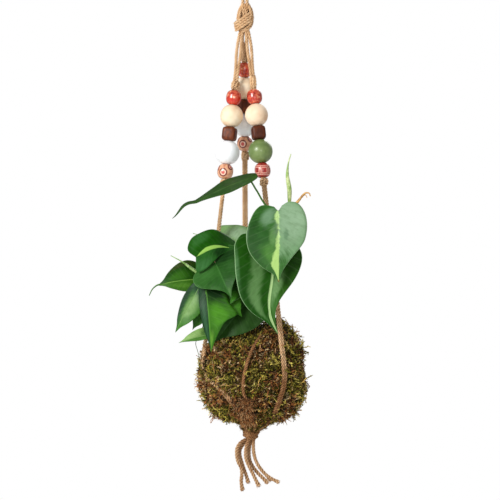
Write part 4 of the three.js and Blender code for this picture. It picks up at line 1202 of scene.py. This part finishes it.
def leaf_finish(name, leaf):
    """The blade's greens, streak, splashes, veins and margin, with its painted sheen, painted highlights and
    painted shade, laid out by its UV map.
    """
    wax = Finish(name + "_wax", roughness=0.4, specular_ior_level=leaf["shine"])
    spread = wax.node("UVMap", {"uv_map": "blade"})
    across = wax.axis(spread, 0) * 2 - 1
    along = (wax.axis(spread, 1) - STALK_SHARE) / (1 - STALK_SHARE)
    share = abs(across)
    vein_line = along - share ** 0.8 * 0.22
    strokes = wax.node("CombineXYZ", (), {0: vein_line * 24, 1: across * 2})
    streaks = wax.noise(strokes, 1, 3, 0.6)
    blotch = wax.noise(wax.place(), 7, 3)
    swell = wax.noise(wax.place(), 15, 1)
    right = across > 0
    # The two halves' tones; on some leaves one half is painted lighter as painted sheen.
    green = wax.mix(right, leaf["left"], leaf["right"])
    # Patches of the leaf's own colour, and patches of painted highlight, painted sheen and painted shade.
    for (middle, at), (wide, long), colour, strength in leaf["splashes_and_painted_light"]:
        away = (((across - middle) / wide) ** 2 + ((along - at) / long) ** 2) ** 0.5
        away = away + (streaks * 1.2 + blotch * 0.6 - 0.9) * 0.7
        green = wax.mix((1 - away.ease(0.35, 1.15)) * strength, green, colour)
    ragged = blotch * 0.5 + streaks * 0.5
    green = wax.mix(ragged.ease(0.56, 0.38) * 0.5, green, wax.mix(1, green, (186, 198, 176), "MULTIPLY"))
    reach = wax.mix(right, *[wax.levels(along, levels) for levels in leaf["widths"]])
    inside = (reach + (ragged - 0.5) * leaf["feather"] - share).ease(-leaf["soft"], leaf["soft"])
    streak = wax.mix(along.ease(0.3, 0.6), leaf["streak"], leaf.get("streak_end", leaf["streak"]))
    streak = wax.mix(streaks.ease(0.5, 0.72) * 0.4, streak, wax.mix(1, streak, (186, 214, 150), "MULTIPLY"))
    green = wax.mix(inside, green, streak)
    veins = 1 - abs((vein_line * 9).math("FRACT") - 0.5).ease(0.02, 0.1)
    green = wax.mix(veins * share.ease(0.02, 0.2) * leaf["veins"], green, (196, 220, 176))
    if "edge" in leaf:
        green = wax.mix(share.ease(0.972, 0.992) * 0.8, green, leaf["edge"])
    if "dry_tip" in leaf:
        green = wax.mix(along.ease(0.95, 0.99), green, leaf["dry_tip"])
    stalk = 1 - wax.axis(spread, 1).ease(0.001, 0.01)
    wax.colour(wax.mix(stalk, green, (70, 116, 44)))
    rib = 1 - share.ease(0.01, 0.04)
    wax.bump(veins * -0.12 + blotch * 0.8 + swell * 7 - rib, 0.2, 0.8)
    return wax


def rim_rows(rim):
    """The rim and the rib that it runs beside, drawn smoothly through their points."""
    points = np.array([(*point, rib) for point, rib in zip(rim, RIB)])
    points = np.concatenate([[2 * points[0] - points[1]], points, [2 * points[-1] - points[-2]]])
    rows = []
    for before, start, end, after in zip(points, points[1:], points[2:], points[3:]):
        for index in range(ROWS_PER_STEP):
            u = index / ROWS_PER_STEP
            leave, arrive = (end - before) / 2, (after - start) / 2
            rows.append(start + u * leave + u * u * (3 * (end - start) - 2 * leave - arrive)
                        + u ** 3 * (2 * (start - end) + leave + arrive))
    return [row.tolist() for row in (*rows, points[-2])]


def smooth_leaf(bm, leaf):
    """A grid bent to the blade's rim and form, with the blade's UV map, then given its thickness."""
    sides = [rim_rows(rim) for rim in leaf["rims"]]
    last = len(sides[0]) - 1
    bmesh.ops.create_grid(bm, x_segments=2 * BLADE_COLUMNS, y_segments=last, size=1)
    layer = bm.loops.layers.uv.new("blade")
    shares = {}
    for vertex in bm.verts:
        share = vertex.co.x
        side = 0 if share < 0 else 1
        edge_s, d, rib = sides[side][round((vertex.co.y + 1) / 2 * last)]
        edge_s += d * leaf["slant"][side]
        s = rib + (edge_s - rib) * abs(share)
        shares[vertex] = (share * 0.5 + 0.5, s * (1 - STALK_SHARE) + STALK_SHARE)
        vertex.co = leaf_point(leaf, s, share * max(0, d))
    for face in bm.faces:
        for loop in face.loops:
            loop[layer].uv = shares[loop.vert]
    bmesh.ops.remove_doubles(bm, verts=bm.verts, dist=0.01)
    thicken(bm, BLADE_THICKNESS)


for name, shape in LEAVES.items():
    leaf = {**PLAIN_LEAF, **shape}
    bm = bmesh.new()
    smooth_leaf(bm, leaf)
    facing = Vector(leaf["facing"]).normalized()
    ends = [leaf_point(leaf, s, 0) - facing * STALK_SINK for s in (0.01, 0.12)]
    sweep(bm, smooth_route([*leaf["stalk"], *ends], 1), circle(STALK_RADIUS, 10))
    if name == "leaf_far_left":
        curl = smooth_route([leaf_point(leaf, 0.9, 0), leaf["tip"], *FAR_LEFT_CURL], 0.7)
        sweep(bm, curl, circle(STALK_RADIUS, 8), 0, lambda share: 1 - 0.6 * share)
    piece("waxy_" + name, bm, leaf_finish(name, leaf), "leaf_lime" if "lime" in name else "leaf", name)

# New leaves still rolled in their spikes, a dried sheath that one has shed, and a thin hanging root. Each
# grows from a joint of a stem: the spikes are smooth and pale green, the sheath papery, the root dull.
PALE_SPIKE = ((104, 144, 62), (158, 190, 118))
SPIKES = {
    "new_leaf_right": (3, ((136, 170, 84), (206, 218, 156)), [
        (44.1, -18.1, -252.4), (44, -19.4, -240), (42, -20, -226), (43, -20, -214), (45.5, -20, -205)]),
    "new_leaf_left": (2.3, PALE_SPIKE, [
        (-38.8, -25.4, -330), (-46, -27.5, -323), (-53, -29.5, -318), (-62, -32, -311.5),
        (-73, -33, -305.5)]),
    "new_leaf_small": (1.3, PALE_SPIKE, [
        (-29.7, -24.3, -304.4), (-37, -22, -294), (-44, -21, -286), (-51.5, -20, -283.5)]),
    "dried_sheath": (1.9, ((158, 104, 44), (222, 172, 92)), [
        (45.7, -18.8, -256), (51, -20, -253.5), (56, -20.5, -247.5), (60, -21, -245.5), (61.5, -21, -248.5)]),
    "aerial_root": (0.7, ((62, 80, 44), (128, 140, 104)), [
        (-33.5, -31, -351.5), (-37, -31, -362), (-40, -29, -372), (-45, -27, -384), (-48.5, -27.5, -391.5),
        (-46.5, -28.5, -400), (-44.5, -28.5, -407.5)]),
}
SHEATH_FORKS = [[(56, -20.5, -247.5), (60, -22, -243.6), (63.6, -23, -244), (64.6, -23, -247)],
                [(54, -20.2, -250.4), (57.6, -19, -245), (60, -18, -243.4)]]
SPIKE_STEP = 0.8
for name, (radius, tones, points) in SPIKES.items():
    skin = Finish(name + "_skin", roughness=0.5)
    veins = skin.noise(skin.place(), 5, 2)
    skin.colour(skin.mix(veins.ease(0.35, 0.65), *tones))
    skin.bump(veins, 0.2, 0.3)

    def taper(share):
        swell = 0.55 + 0.45 * math.sin(math.pi * min(1, share * 1.3))
        return max(radius * swell * (1 - 0.72 * share), 0.3)

    bm = bmesh.new()
    sweep(bm, smooth_route(points, SPIKE_STEP), circle(1, 12), 0, taper)
    if name == "dried_sheath":
        for fork in SHEATH_FORKS:
            sweep(bm, smooth_route(fork, SPIKE_STEP), circle(1, 10), 0, lambda share: 1.2 * (1 - 0.6 * share))
    piece("grown_" + name, bm, skin, "new_leaf" if name.startswith("new") else "dried", name)
